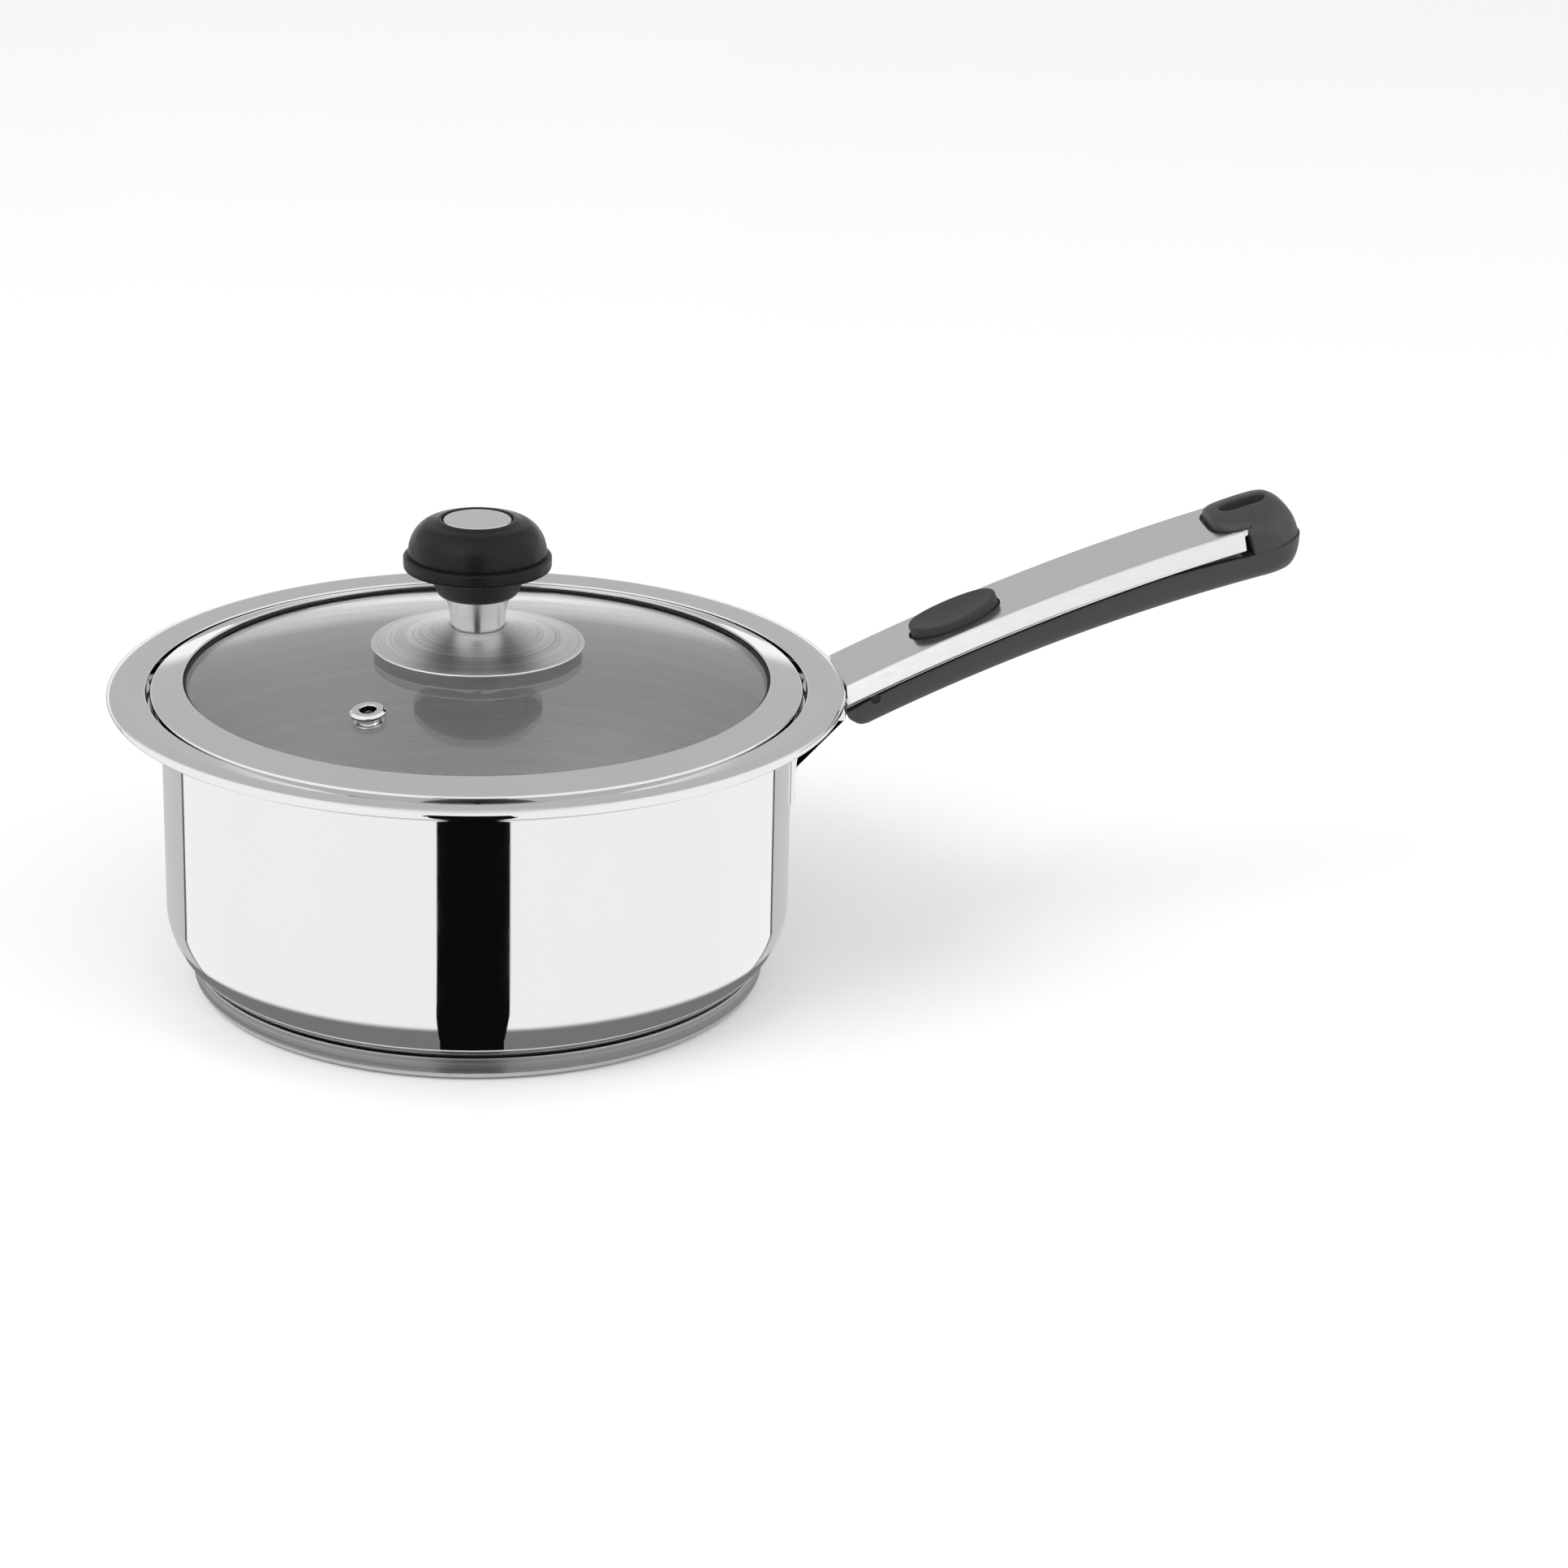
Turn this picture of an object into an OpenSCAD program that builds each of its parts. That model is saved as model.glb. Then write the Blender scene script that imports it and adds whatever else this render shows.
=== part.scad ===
// Saucepan with a glass lid.
// Millimetres, +Z up. The origin is the centre of the base's resting face,
// and the handle points along +X.

/* [Pot] */
// Outside diameter of the pot's straight wall
body_d = 160; // [150:1:170]
// Height of the rolled rim's top above the worktop
pot_h = 78.6; // [72:0.2:100]
// Thickness of the pressed steel sheet
wall_t = 0.8; // [0.6:0.1:1]
// Outside radius of the corner between wall and bottom
corner_r = 17.5; // [14:0.5:18]
// Thickness of the aluminium disc in the base
disc_t = 3.7; // [3:0.1:5]
// Thickness of the steel capsule over the disc
capsule_t = 0.5; // [0.4:0.1:0.6]

/* [Rim] */
// Width of the ledge that the lid sits on
seat_w = 4.5; // [4.2:0.1:6]
// Depth of the ledge below the rim's top
seat_depth = 6; // [5.8:0.1:7]
// How far the rolled edge stands out beyond the wall
rim_out = 13.5; // [13:0.5:16]
// Height of the rolled edge
bead_h = 4; // [3.6:0.1:4.4]

/* [Lid] */
// Radial play between the lid and the pot's recess
lid_play = 1; // [0.6:0.1:1.4]
// Width of the steel band around the glass
band_w = 8.4; // [7.5:0.1:9]
// Radius of the sphere that the top of the glass is part of
dome_r = 310; // [280:5:360]
// Thickness of the glass
glass_t = 3.6; // [3:0.1:3.6]
// Distance of the steam vent from the lid's centre
vent_at = 49; // [45:1:58]

/* [Knob] */
// Diameter of the flared steel plate under the knob
plate_d = 54; // [48:1:60]
// Diameter of the knob at its skirt
knob_d = 37.4; // [34:0.2:40]
// Height of the knob's moulding above the top of its stem
knob_h = 19.8; // [19:0.2:22]
// Diameter of the steel inlay in the top of the knob
inlay_d = 17.6; // [14:0.2:18]

/* [Handle] */
// Distance from the pot's axis to the tip of the handle
handle_reach = 213.5; // [205:0.5:220]
// Width of the flat on top of the handle
flat_w = 24.8; // [24:0.2:26]
// Radius of the arc that the handle bends along
bend_r = 640; // [600:10:800]
// Slope of the handle where it leaves the rim, in degrees
start_slope = 25.4; // [24:0.1:26.5]
// Radius of the arc along the underside of the grip, which is deepest at the tip
belly_r = 540; // [510:10:580]
// Length of the thumb pad
pad_l = 24; // [20:0.5:26]
// Width of the thumb pad
pad_w = 16.2; // [12:0.2:17]
// Length of the hanging slot
slot_l = 12.4; // [11:0.2:13]
// Width of the hanging slot
slot_w = 6.4; // [5.4:0.2:7]

/* [Hidden] */
$fn = 96;

// Colours
steel = "silver";
phenolic = "#2b2b2d";
silicone = "#1c1c1e";

// Pot
wall_ro = body_d / 2;
wall_ri = wall_ro - wall_t;
bottom_z = disc_t + capsule_t;
floor_z = bottom_z + wall_t;
corner_z = bottom_z + corner_r - 1.2;
corner_c = [wall_ro - corner_r, corner_z];
capsule_r = wall_ro - 6.5;
capsule_edge_r = 2.7;
capsule_h = bottom_z + 1.8;

// Rim
seat_z = pot_h - seat_depth;
recess_r = wall_ri + seat_w;
flange_z = pot_h - 0.8;
bead_ry = bead_h / 2;
bead_rx = 4.4;
bead_c = [wall_ro + rim_out - bead_rx, pot_h - bead_ry];
rim_r = wall_ro + rim_out;

// Lid
seat_gap = 0.1;
band_t = 0.8;
band_r = recess_r - lid_play;
band_z = seat_z + seat_gap;
band_edge_z = pot_h - 1;
lip_r = band_r - band_w;
lip_z = band_edge_z + 2.6;
seal_t = 0.5;
seal_lip = 0.7;
glass_r = band_r - 4.2;
dome_rise = lip_r * lip_r / (2 * dome_r);
dome_top = lip_z - band_t - seal_t + dome_rise;
dome_cz = dome_top - dome_r;
vent_turn = -129;
glass_bottom = dome_top - glass_t;

// Lid fastener: everything stacks up along the lid's axis
fit_gap = 0.05;
screw_r = 2.5;
bore_r = screw_r + fit_gap;
gasket_t = 0.8;
plate_z = dome_top + gasket_t / 2;
plate_neck_r = 7;
plate_h = 5.2;
plate_t = 1;
plate_neck_z = plate_z + plate_h - plate_t - 0.6;
stem_z = plate_z + plate_h;
stem_h = 8;
knob_z = stem_z + stem_h;
washer_t = 1;
screw_head_z = glass_bottom - gasket_t - washer_t;
screw_top = knob_z + 11;
insert_l = 11;

// Handle: a section swept along an arc in the XZ plane
handle_x0 = rim_r - 1.2;
handle_z0 = pot_h - 1.5;
bend_c = [handle_x0 + bend_r * sin(start_slope), handle_z0 - bend_r * cos(start_slope)];
shell_t = 1;
bevel_w = 3;
bevel_h = 4;
shell_lip = 0.6;
shell_half = flat_w / 2 + bevel_w;
grip_half = shell_half - 1.2;
grip_depth = 12.4;
grip_edge_r = 4.5;
belly_c = [handle_x0 + (grip_depth + belly_r) * sin(start_slope),
    handle_z0 - (grip_depth + belly_r) * cos(start_slope)];
seam_depth = 6.6;
shell_end = handle_reach - 17.5;
cap_gap = 0.9;
hump_nose = handle_reach - 24.1;
hump_half = 11.6;
hump_rise = 3.4;
nose_r = 7.6;
tongue_half = 9;
slot_x = handle_reach - 14.3;
tip_r = 10;
pad_x = wall_ro + 43.3;
pad_rise = 2.8;
tang_w = 16;
tang_t = 3;
tang_depth = 4.4;
tang_end = pad_x + 22;
pin_x = handle_x0 + 5.5;
pin_depth = tang_depth + tang_t / 2;
bracket_w = 22;
bracket_sheet = 1.6;
bracket_low = pot_h - 23.6;
bracket_top = seat_z - wall_t - 1.2;
bracket_arc = 13;
bracket_arc_c = [wall_ro + 1 + bracket_arc, bracket_low];
wing_low = pot_h - 32;
saddle_top = pot_h - bead_h - 0.5;
front_r = rim_r + 0.4;
front_gap = 0.05;
cap_screw_x = shell_end - 10;

// Points along a circle's arc
function arc(c, r, from, to, n) =
    [for (i = [0:n]) c + r * [cos(from + (to - from) * i / n), sin(from + (to - from) * i / n)]];

// Points along an ellipse's arc
function oval(c, rx, ry, from, to, n) =
    [for (i = [0:n]) c + [rx * cos(from + (to - from) * i / n), ry * sin(from + (to - from) * i / n)]];

// Slope of the handle, in degrees, at a distance x from the pot's axis
function slope_at(x) = asin((bend_c[0] - x) / bend_r);

// Height of the handle's top face at a distance x from the pot's axis
function top_at(x) = bend_c[1] + bend_r * cos(slope_at(x));

// Sweeps a section along the handle from one distance to another.
// The section's X is height above the top face and its Y is across the handle.
module along_handle(from, to) {
    translate([bend_c[0], 0, bend_c[1]])
        rotate([90, 0, 0])
            rotate_extrude(start = 90 + slope_at(to), angle = slope_at(from) - slope_at(to), $fn = 720)
                translate([bend_r, 0])
                    children();
}

// Height of the grip's underside at a distance x from the pot's axis
function belly_at(x) = belly_c[1] + sqrt(belly_r * belly_r - pow(x - belly_c[0], 2));

// Slope of the grip's underside at a distance x from the pot's axis
function belly_slope(x) = asin((belly_c[0] - x) / belly_r);

// Sweeps a section along the grip's underside, past both ends of the handle.
// The section's X is height above the underside and its Y is across the handle.
module along_belly() {
    from = belly_slope(handle_x0 - 8);
    to = belly_slope(handle_reach + 8);
    translate([belly_c[0], 0, belly_c[1]])
        rotate([90, 0, 0])
            rotate_extrude(start = 90 + to, angle = from - to, $fn = 720)
                translate([belly_r, 0])
                    children();
}

// Puts children on the handle's top face at x, with +Z square to the face
module on_handle(x) {
    translate([x, 0, top_at(x)])
        rotate([0, -slope_at(x), 0])
            children();
}

// Round tool that cuts the front of the handle to follow the rim
module rim_clearance() {
    cylinder(r = front_r + front_gap, h = 200, $fn = 360);
}

// Plan of the handle's rounded tip
module tip_plan(half) {
    translate([0, -half])
        square([handle_reach - tip_r, 2 * half]);
    translate([0, tip_r - half])
        square([handle_reach, 2 * (half - tip_r)]);
    for (side = [-1, 1])
        translate([handle_reach - tip_r, side * (half - tip_r)])
            circle(tip_r);
}

// Slot with round ends, through the end cap and the grip
module hanging_slot() {
    half = (slot_l - slot_w) / 2;
    on_handle(slot_x) {
        for (side = [-1, 1])
            translate([side * half, 0, -40])
                cylinder(r = slot_w / 2, h = 80);
        translate([-half, -slot_w / 2, -40])
            cube([2 * half, slot_w, 80]);
    }
}

// Pressed steel bowl with its lid seat and rolled rim
module pot_body() {
    color(steel)
        rotate_extrude()
            polygon(concat(
                [[0, bottom_z]],
                arc(corner_c, corner_r, asin((bottom_z - corner_z) / corner_r), 0, 10),
                [[wall_ro, seat_z - wall_t - 1], [wall_ro + 1, seat_z - wall_t],
                    [recess_r + wall_t, seat_z - wall_t], [recess_r + wall_t, flange_z - wall_t]],
                oval(bead_c, bead_rx - wall_t, bead_ry - wall_t, 90, -90, 12),
                [[recess_r + wall_t + 1, bead_c[1] - bead_ry + wall_t + 0.3],
                    [recess_r + wall_t + 1, bead_c[1] - bead_ry + 0.3]],
                oval(bead_c, bead_rx, bead_ry, -90, 90, 16),
                [[recess_r + 0.6, flange_z], [recess_r, flange_z - 0.6],
                    [recess_r, seat_z + 0.3], [recess_r - 0.3, seat_z],
                    [wall_ri + 1, seat_z], [wall_ri, seat_z - 1]],
                arc(corner_c, corner_r - wall_t, 0, asin((floor_z - corner_z) / (corner_r - wall_t)), 10),
                [[0, floor_z]]
            ));
}

// Aluminium disc bonded under the bowl
module heat_disc() {
    color("gainsboro")
        rotate_extrude()
            polygon(concat(
                [[0, bottom_z], [0, capsule_t]],
                arc([capsule_r - capsule_edge_r, capsule_edge_r], capsule_edge_r - capsule_t, -90, 0, 8),
                [[capsule_r - capsule_t, bottom_z]]
            ));
}

// Thin steel capsule that wraps the disc's underside and edge
module base_capsule() {
    edge_c = [capsule_r - capsule_edge_r, capsule_edge_r];
    color(steel)
        rotate_extrude()
            polygon(concat(
                [[0, 0]],
                arc(edge_c, capsule_edge_r, -90, 0, 8),
                [[capsule_r, capsule_h - 0.2], [capsule_r - 0.2, capsule_h],
                    [capsule_r - capsule_t, capsule_h]],
                arc(edge_c, capsule_edge_r - capsule_t, 0, -90, 8),
                [[0, capsule_t]]
            ));
}

// Side view of the bracket's gusset
module gusset_side() {
    polygon(concat(
        [[wall_ro - 6, bracket_low]],
        arc(bracket_arc_c, bracket_arc, 180, 90, 12),
        [[bracket_arc_c[0], bracket_top], [wall_ro - 6, bracket_top]]
    ));
}

// Side view of the hollow inside the gusset
module gusset_hollow() {
    r = bracket_arc + bracket_sheet;
    top = bracket_top - bracket_sheet;
    polygon(concat(
        [[wall_ro - 6, bracket_low]],
        arc(bracket_arc_c, r, 180, 180 - asin((top - bracket_low) / r), 12),
        [[wall_ro - 6, top]]
    ));
}

// Welded bracket: a hollow gusset under the rim, a saddle behind the handle and two wings
module handle_bracket() {
    saddle_low = bracket_low + bracket_arc;
    color(steel)
        difference() {
            intersection() {
                union() {
                    rotate([90, 0, 0])
                        linear_extrude(bracket_w, center = true)
                            gusset_side();
                    translate([rim_r - 7, -flat_w / 2, saddle_low])
                        cube([10, flat_w, saddle_top - saddle_low]);
                    rotate([0, 0, -11])
                        rotate_extrude(angle = 22)
                            translate([wall_ro - 1, wing_low])
                                square([2.2, bracket_top - 1 - wing_low]);
                }
                cylinder(r = front_r, h = pot_h, $fn = 360);
            }
            rotate([90, 0, 0])
                linear_extrude(bracket_w - 2 * bracket_sheet, center = true)
                    gusset_hollow();
            cylinder(r = wall_ro, h = pot_h);
        }
}

// Steel strip from the bracket's saddle into the grip
module handle_tang() {
    color("lightgray")
        difference() {
            along_handle(handle_x0 - 4, tang_end)
                translate([-tang_depth - tang_t, -tang_w / 2])
                    square([tang_t, tang_w]);
            rim_clearance();
            on_handle(pin_x)
                translate([0, 0, -pin_depth])
                    rotate([90, 0, 0])
                        cylinder(r = 1.25, h = 40, center = true);
            on_handle(pad_x)
                translate([0, 0, -20])
                    cylinder(r = 1.75, h = 40);
        }
}

// Cross pin through the grip and the tang
module tang_pin() {
    color("lightgray")
        on_handle(pin_x)
            translate([0, 0, -pin_depth])
                rotate([90, 0, 0])
                    cylinder(r = 1.25, h = 2 * grip_half - 0.6, center = true);
}

// Section of the grip's upper part: it fills the steel shell and spreads out below it
module grip_section() {
    top_half = flat_w / 2 - 0.6;
    spread = (grip_half - top_half) / (bevel_h + shell_lip - shell_t);
    fall = 8;
    low_half = top_half + fall * spread;
    polygon([
        [-shell_t, top_half], [-shell_t - fall, low_half], [-24, low_half],
        [-24, -low_half], [-shell_t - fall, -low_half], [-shell_t, -top_half]
    ]);
}

// Section of the grip's lower part: straight sides with rounded lower edges
module belly_section() {
    flat_half = grip_half - grip_edge_r;
    translate([grip_edge_r, -grip_half])
        square([24, 2 * grip_half]);
    translate([0, -flat_half])
        square([24, 2 * flat_half]);
    for (side = [-1, 1])
        translate([grip_edge_r, side * flat_half])
            circle(grip_edge_r, $fn = 48);
}

// Side view that rounds the grip's lower corners at the front and at the tip
module grip_side() {
    front_edge = 5;
    back_edge = 6;
    front_s = belly_slope(handle_x0 + front_edge);
    back_s = belly_slope(handle_reach - back_edge);
    front_c = [handle_x0 + front_edge, belly_at(handle_x0 + front_edge) + front_edge / cos(front_s)];
    back_c = [handle_reach - back_edge, belly_at(handle_reach - back_edge) + back_edge / cos(back_s)];
    polygon(concat(
        [[handle_x0, 200]],
        arc(front_c, front_edge, 180, 270 + front_s, 12),
        [front_c + [12, -front_edge - 1], back_c - [12, back_edge + 6]],
        arc(back_c, back_edge, 270 + back_s, 360, 12),
        [[handle_reach, 200]]
    ));
}

// Hole and countersink that the handle screw passes through
module screw_clearance() {
    translate([0, 0, -tang_depth - tang_t - 4])
        cylinder(r = 2.2, h = 30);
    translate([0, 0, -shell_t - 1.4])
        cylinder(r = 3.6, h = 5);
}

// Black phenolic grip under the shell, from the rim to the tip
module handle_grip() {
    color(phenolic)
        difference() {
            intersection() {
                along_handle(handle_x0 - 6, handle_reach + 6)
                    grip_section();
                along_belly()
                    belly_section();
                rotate([90, 0, 0])
                    linear_extrude(60, center = true)
                        grip_side();
                linear_extrude(200)
                    tip_plan(grip_half);
            }
            rim_clearance();
            along_handle(shell_end, handle_reach + 8)
                translate([-seam_depth, -30])
                    square([30, 60]);
            along_handle(shell_end - 20.2, shell_end + 1)
                translate([-seam_depth, -tongue_half - 0.2])
                    square([30, 2 * tongue_half + 0.4]);
            along_handle(handle_x0 - 8, tang_end + 0.2)
                translate([-tang_depth - tang_t, -tang_w / 2])
                    square([tang_t, tang_w]);
            on_handle(pin_x)
                translate([0, 0, -pin_depth])
                    rotate([90, 0, 0])
                        cylinder(r = 1.25, h = 60, center = true);
            on_handle(pad_x)
                screw_clearance();
            on_handle(cap_screw_x) {
                translate([0, 0, -seam_depth - 8])
                    cylinder(r = 1.6, h = 12);
                translate([0, 0, -seam_depth - 10])
                    cylinder(r = 3.2, h = 6.5);
            }
            hanging_slot();
        }
}

// Section of the pressed steel channel on top of the grip
module shell_section() {
    half = flat_w / 2;
    inner = half - 0.42;
    polygon([
        [0, half], [-bevel_h, shell_half], [-bevel_h - shell_lip, shell_half],
        [-bevel_h - shell_lip, shell_half - 1], [-bevel_h - 0.2, shell_half - 1.05], [-shell_t, inner],
        [-shell_t, -inner], [-bevel_h - 0.2, 1.05 - shell_half], [-bevel_h - shell_lip, 1 - shell_half],
        [-bevel_h - shell_lip, -shell_half], [-bevel_h, -shell_half], [0, -half]
    ]);
}

// Steel channel with bevelled sides, cut away for the thumb pad and the end cap
module handle_shell() {
    color(steel)
        difference() {
            along_handle(handle_x0 - 4, shell_end)
                shell_section();
            rim_clearance();
            on_handle(pad_x)
                translate([0, 0, -1.6])
                    linear_extrude(6)
                        polygon(oval([0, 0], pad_l / 2 + 0.7, pad_w / 2 + 0.7, 0, 345, 23));
            linear_extrude(200)
                nose_plan(0.4);
        }
}

// Countersunk screw under the thumb pad, into the tang
module handle_screw() {
    color("lightgray")
        on_handle(pad_x)
            difference() {
                union() {
                    translate([0, 0, -tang_depth - tang_t - 2])
                        cylinder(r = 1.75, h = tang_t + tang_depth);
                    translate([0, 0, -shell_t - 1.2])
                        cylinder(r1 = 1.75, r2 = 3.4, h = 1.2);
                }
                translate([0, 0, -shell_t - 0.8])
                    for (turn = [0, 90])
                        rotate([0, 0, turn])
                            translate([-1.8, -0.4, 0])
                                cube([3.6, 0.8, 2]);
            }
}

// Soft oval pad with a dished top, fixed in the shell's cut-out
module thumb_pad() {
    dish_r = 60;
    dish_depth = 1;
    low = 0.03 - shell_t;
    color(silicone)
        on_handle(pad_x)
            difference() {
                translate([0, 0, low])
                    linear_extrude(pad_rise - low)
                        polygon(oval([0, 0], pad_l / 2, pad_w / 2, 0, 345, 23));
                translate([0, 0, pad_rise - dish_depth + dish_r])
                    sphere(dish_r, $fn = 360);
            }
}

// Plan of the end cap's round nose, grown by a distance
module nose_plan(grow) {
    middle_half = hump_half - nose_r;
    for (side = [-1, 1])
        translate([hump_nose + nose_r, side * middle_half])
            circle(nose_r + grow);
    translate([hump_nose + nose_r, -hump_half - grow])
        square([10, 2 * (hump_half + grow)]);
    translate([hump_nose - grow, -middle_half])
        square([10, 2 * middle_half]);
}

// Side view of the end cap: a hump whose top flattens towards the tip
module cap_side() {
    top_r = 50;
    tip_edge = 9;
    crest = [handle_reach - tip_edge, top_at(slot_x) + hump_rise];
    polygon(concat(
        [[shell_end - 24, 80], [shell_end - 24, top_at(shell_end - 24)]],
        [[hump_nose, top_at(hump_nose) + 0.4]],
        arc([hump_nose + 3, top_at(hump_nose) + 0.6], 3, 180, 120, 4),
        arc([crest[0], crest[1] - top_r], top_r, 102, 90, 4),
        arc([crest[0], crest[1] - tip_edge], tip_edge, 84, 0, 6),
        [[handle_reach, 80]]
    ));
}

// Black cap over the end of the grip, with the hanging slot
module handle_end_cap() {
    color(phenolic)
        difference() {
            intersection() {
                union() {
                    along_handle(shell_end + cap_gap, handle_reach + 6)
                        translate([-seam_depth + 0.02, -grip_half])
                            square([14, 2 * grip_half]);
                    intersection() {
                        along_handle(hump_nose - 2, handle_reach) {
                            translate([0.02 - shell_t, -20])
                                square([14, 40]);
                            translate([-shell_t - 1, -tongue_half])
                                square([4, 2 * tongue_half]);
                        }
                        linear_extrude(200)
                            nose_plan(0);
                    }
                    along_handle(shell_end - 20, shell_end + 1)
                        translate([-seam_depth + 0.6, -tongue_half])
                            square([seam_depth - 0.6 - shell_t, 2 * tongue_half]);
                }
                rotate([90, 0, 0])
                    linear_extrude(60, center = true)
                        cap_side();
                linear_extrude(200)
                    tip_plan(grip_half);
            }
            on_handle(cap_screw_x)
                translate([0, 0, -seam_depth - 2])
                    cylinder(r = 1.2, h = 6);
            hanging_slot();
        }
}

// Self-tapping screw from below the grip into the end cap's tongue
module end_cap_screw() {
    color("lightgray")
        on_handle(cap_screw_x)
            difference() {
                union() {
                    translate([0, 0, -seam_depth - 3.5])
                        cylinder(r = 1.2, h = 7.5);
                    translate([0, 0, -seam_depth - 5.3])
                        cylinder(r = 2.6, h = 1.8);
                }
                translate([0, 0, -seam_depth - 6])
                    for (turn = [0, 90])
                        rotate([0, 0, turn])
                            translate([-1.5, -0.35, 0])
                                cube([3, 0.7, 1.6]);
            }
}

// Screw that clamps the lid's fittings through the glass
module lid_screw() {
    color("silver")
        difference() {
            union() {
                translate([0, 0, screw_head_z - 2.6])
                    cylinder(r = 4.8, h = 2.6 - fit_gap);
                translate([0, 0, screw_head_z - 1])
                    cylinder(r = screw_r, h = screw_top - screw_head_z + 1);
            }
            translate([0, 0, screw_head_z - 3])
                for (turn = [0, 90])
                    rotate([0, 0, turn])
                        translate([-2.6, -0.5, 0])
                            cube([5.2, 1, 1.8]);
        }
}

// Domed glass with a centre hole and a vent hole
module lid_glass() {
    color("lightblue", 0.4)
        difference() {
            rotate_extrude()
                intersection() {
                    translate([0, dome_cz])
                        difference() {
                            circle(dome_r, $fn = 720);
                            circle(dome_r - glass_t, $fn = 720);
                        }
                    translate([bore_r + 1, 0])
                        square([glass_r - bore_r - 1, 200]);
                }
            vent_place()
                cylinder(r = 3, h = 40, center = true);
        }
}

// Puts children on top of the glass at the vent, with +Z square to the dome
module vent_place() {
    tilt = asin(vent_at / dome_r);
    rotate([0, 0, vent_turn])
        translate([0, 0, dome_cz])
            rotate([0, tilt, 0])
                translate([0, 0, dome_r])
                    children();
}

// Steel band that wraps the glass's edge
module lid_band() {
    slope = (lip_z - band_edge_z) / band_w;
    color(steel)
        rotate_extrude()
            polygon([
                [lip_r, lip_z], [lip_r, lip_z - band_t], [band_r - 1.1, band_edge_z - band_t + 0.3],
                [band_r - band_t, band_edge_z - band_t], [band_r - band_t, band_z + band_t],
                [band_r - 5.4, band_z + band_t], [band_r - 5.4, band_z], [band_r - 0.4, band_z],
                [band_r, band_z + 0.4], [band_r, band_edge_z - 0.6],
                [band_r - 0.5, band_edge_z + 0.5 * slope]
            ]);
}

// Silicone channel between the glass's edge and the band
module lid_seal() {
    inner = lip_r - seal_lip;
    outer = band_r - band_t - fit_gap;
    low = band_z + band_t + fit_gap;
    high = lip_z - band_t - fit_gap;
    edge_high = band_edge_z - band_t;
    glass_edge_z = dome_cz + sqrt(dome_r * dome_r - glass_r * glass_r);
    color(silicone)
        rotate_extrude()
            difference() {
                polygon([
                    [inner, low], [outer, low], [outer, edge_high - fit_gap],
                    [band_r - 1.2, edge_high + 0.2], [lip_r - fit_gap, high], [inner, high]
                ]);
                intersection() {
                    translate([0, dome_cz])
                        difference() {
                            circle(dome_r, $fn = 720);
                            circle(dome_r - glass_t, $fn = 720);
                        }
                    square([glass_r, 200]);
                }
                square([band_r - 5.4, glass_edge_z - 1]);
            }
}

// Rolled steel eyelet that lines the vent
module vent_eyelet() {
    color(steel)
        vent_place()
            rotate_extrude()
                polygon([
                    [2.1, 1.2], [2.9, 1.5], [3.9, 1.3], [4.6, 0.7], [4.6, 0.5], [2.6, 0.5],
                    [2.6, -glass_t - 0.5], [3.9, -glass_t - 0.5], [3.9, -glass_t - 0.9],
                    [2.4, -glass_t - 1.2], [2.1, -glass_t - 0.9]
                ]);
}

// Washer between the eyelet's flange and the glass
module vent_washer() {
    color(silicone)
        vent_place()
            difference() {
                translate([0, 0, 0.08])
                    cylinder(r = 4.3, h = 0.42);
                translate([0, 0, -1])
                    cylinder(r = 2.6, h = 3);
            }
}

// Flared steel plate under the knob's stem
module knob_plate() {
    edge = plate_d / 2;
    span = edge - plate_neck_r;
    flare = [for (i = [0:8]) [edge - span * i / 8, plate_z + 0.6 + (plate_h - 0.6) * pow(i / 8, 1.25)]];
    low_rise = plate_h - 0.6 - plate_t;
    under = [for (i = [8:-1:0]) [edge - span * i / 8 - 0.2, plate_z + low_rise * pow(i / 8, 1.25)]];
    color(steel)
        rotate_extrude()
            polygon(concat(
                flare,
                [[bore_r, stem_z], [bore_r, plate_neck_z]],
                under
            ));
}

// Gasket between the plate and the glass
module plate_gasket() {
    color(silicone)
        difference() {
            translate([0, 0, dome_top])
                cylinder(r = 6.6, h = plate_neck_z - dome_top);
            translate([0, 0, dome_top - 1])
                cylinder(r = bore_r, h = 20);
        }
}

// Flared steel stem between the plate and the knob
module knob_stem() {
    color(steel)
        difference() {
            rotate_extrude()
                polygon([
                    [0, stem_z], [6.9, stem_z], [7, stem_z + 0.5], [7.4, stem_z + stem_h * 0.5],
                    [8.3, knob_z - 0.2], [8.3, knob_z], [0, knob_z]
                ]);
            translate([0, 0, stem_z - 1])
                cylinder(r = bore_r, h = 20);
        }
}

// Black phenolic knob: collar, skirt and dome in one moulding
module knob() {
    edge = knob_d / 2;
    skirt_z = knob_z + 7.6;
    skirt_h = 3.4;
    inlay_z = knob_z + knob_h - 1;
    dome_c = [edge - 7.4, skirt_z + skirt_h + 0.3];
    color(phenolic)
        difference() {
            rotate_extrude()
                polygon(concat(
                    [[0, knob_z], [9.4, knob_z]],
                    arc([9.4, knob_z + 1], 1, -90, 0, 3),
                    [[12.3, knob_z + 5.2], [13.2, skirt_z - 1], [edge - 1.2, skirt_z]],
                    arc([edge - 0.8, skirt_z + 0.9], 0.8, -60, 0, 3),
                    [[edge, skirt_z + skirt_h - 0.5], [edge - 0.7, skirt_z + skirt_h]],
                    arc(dome_c, 7, 12, 78, 8),
                    [[inlay_d / 2 + 0.8, knob_z + knob_h], [inlay_d / 2 + 0.2, knob_z + knob_h - 0.1],
                        [inlay_d / 2 + 0.2, inlay_z], [0, inlay_z]]
                ));
            translate([0, 0, knob_z - 1])
                cylinder(r = 4, h = insert_l + 1 + 1);
        }
}

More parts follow.
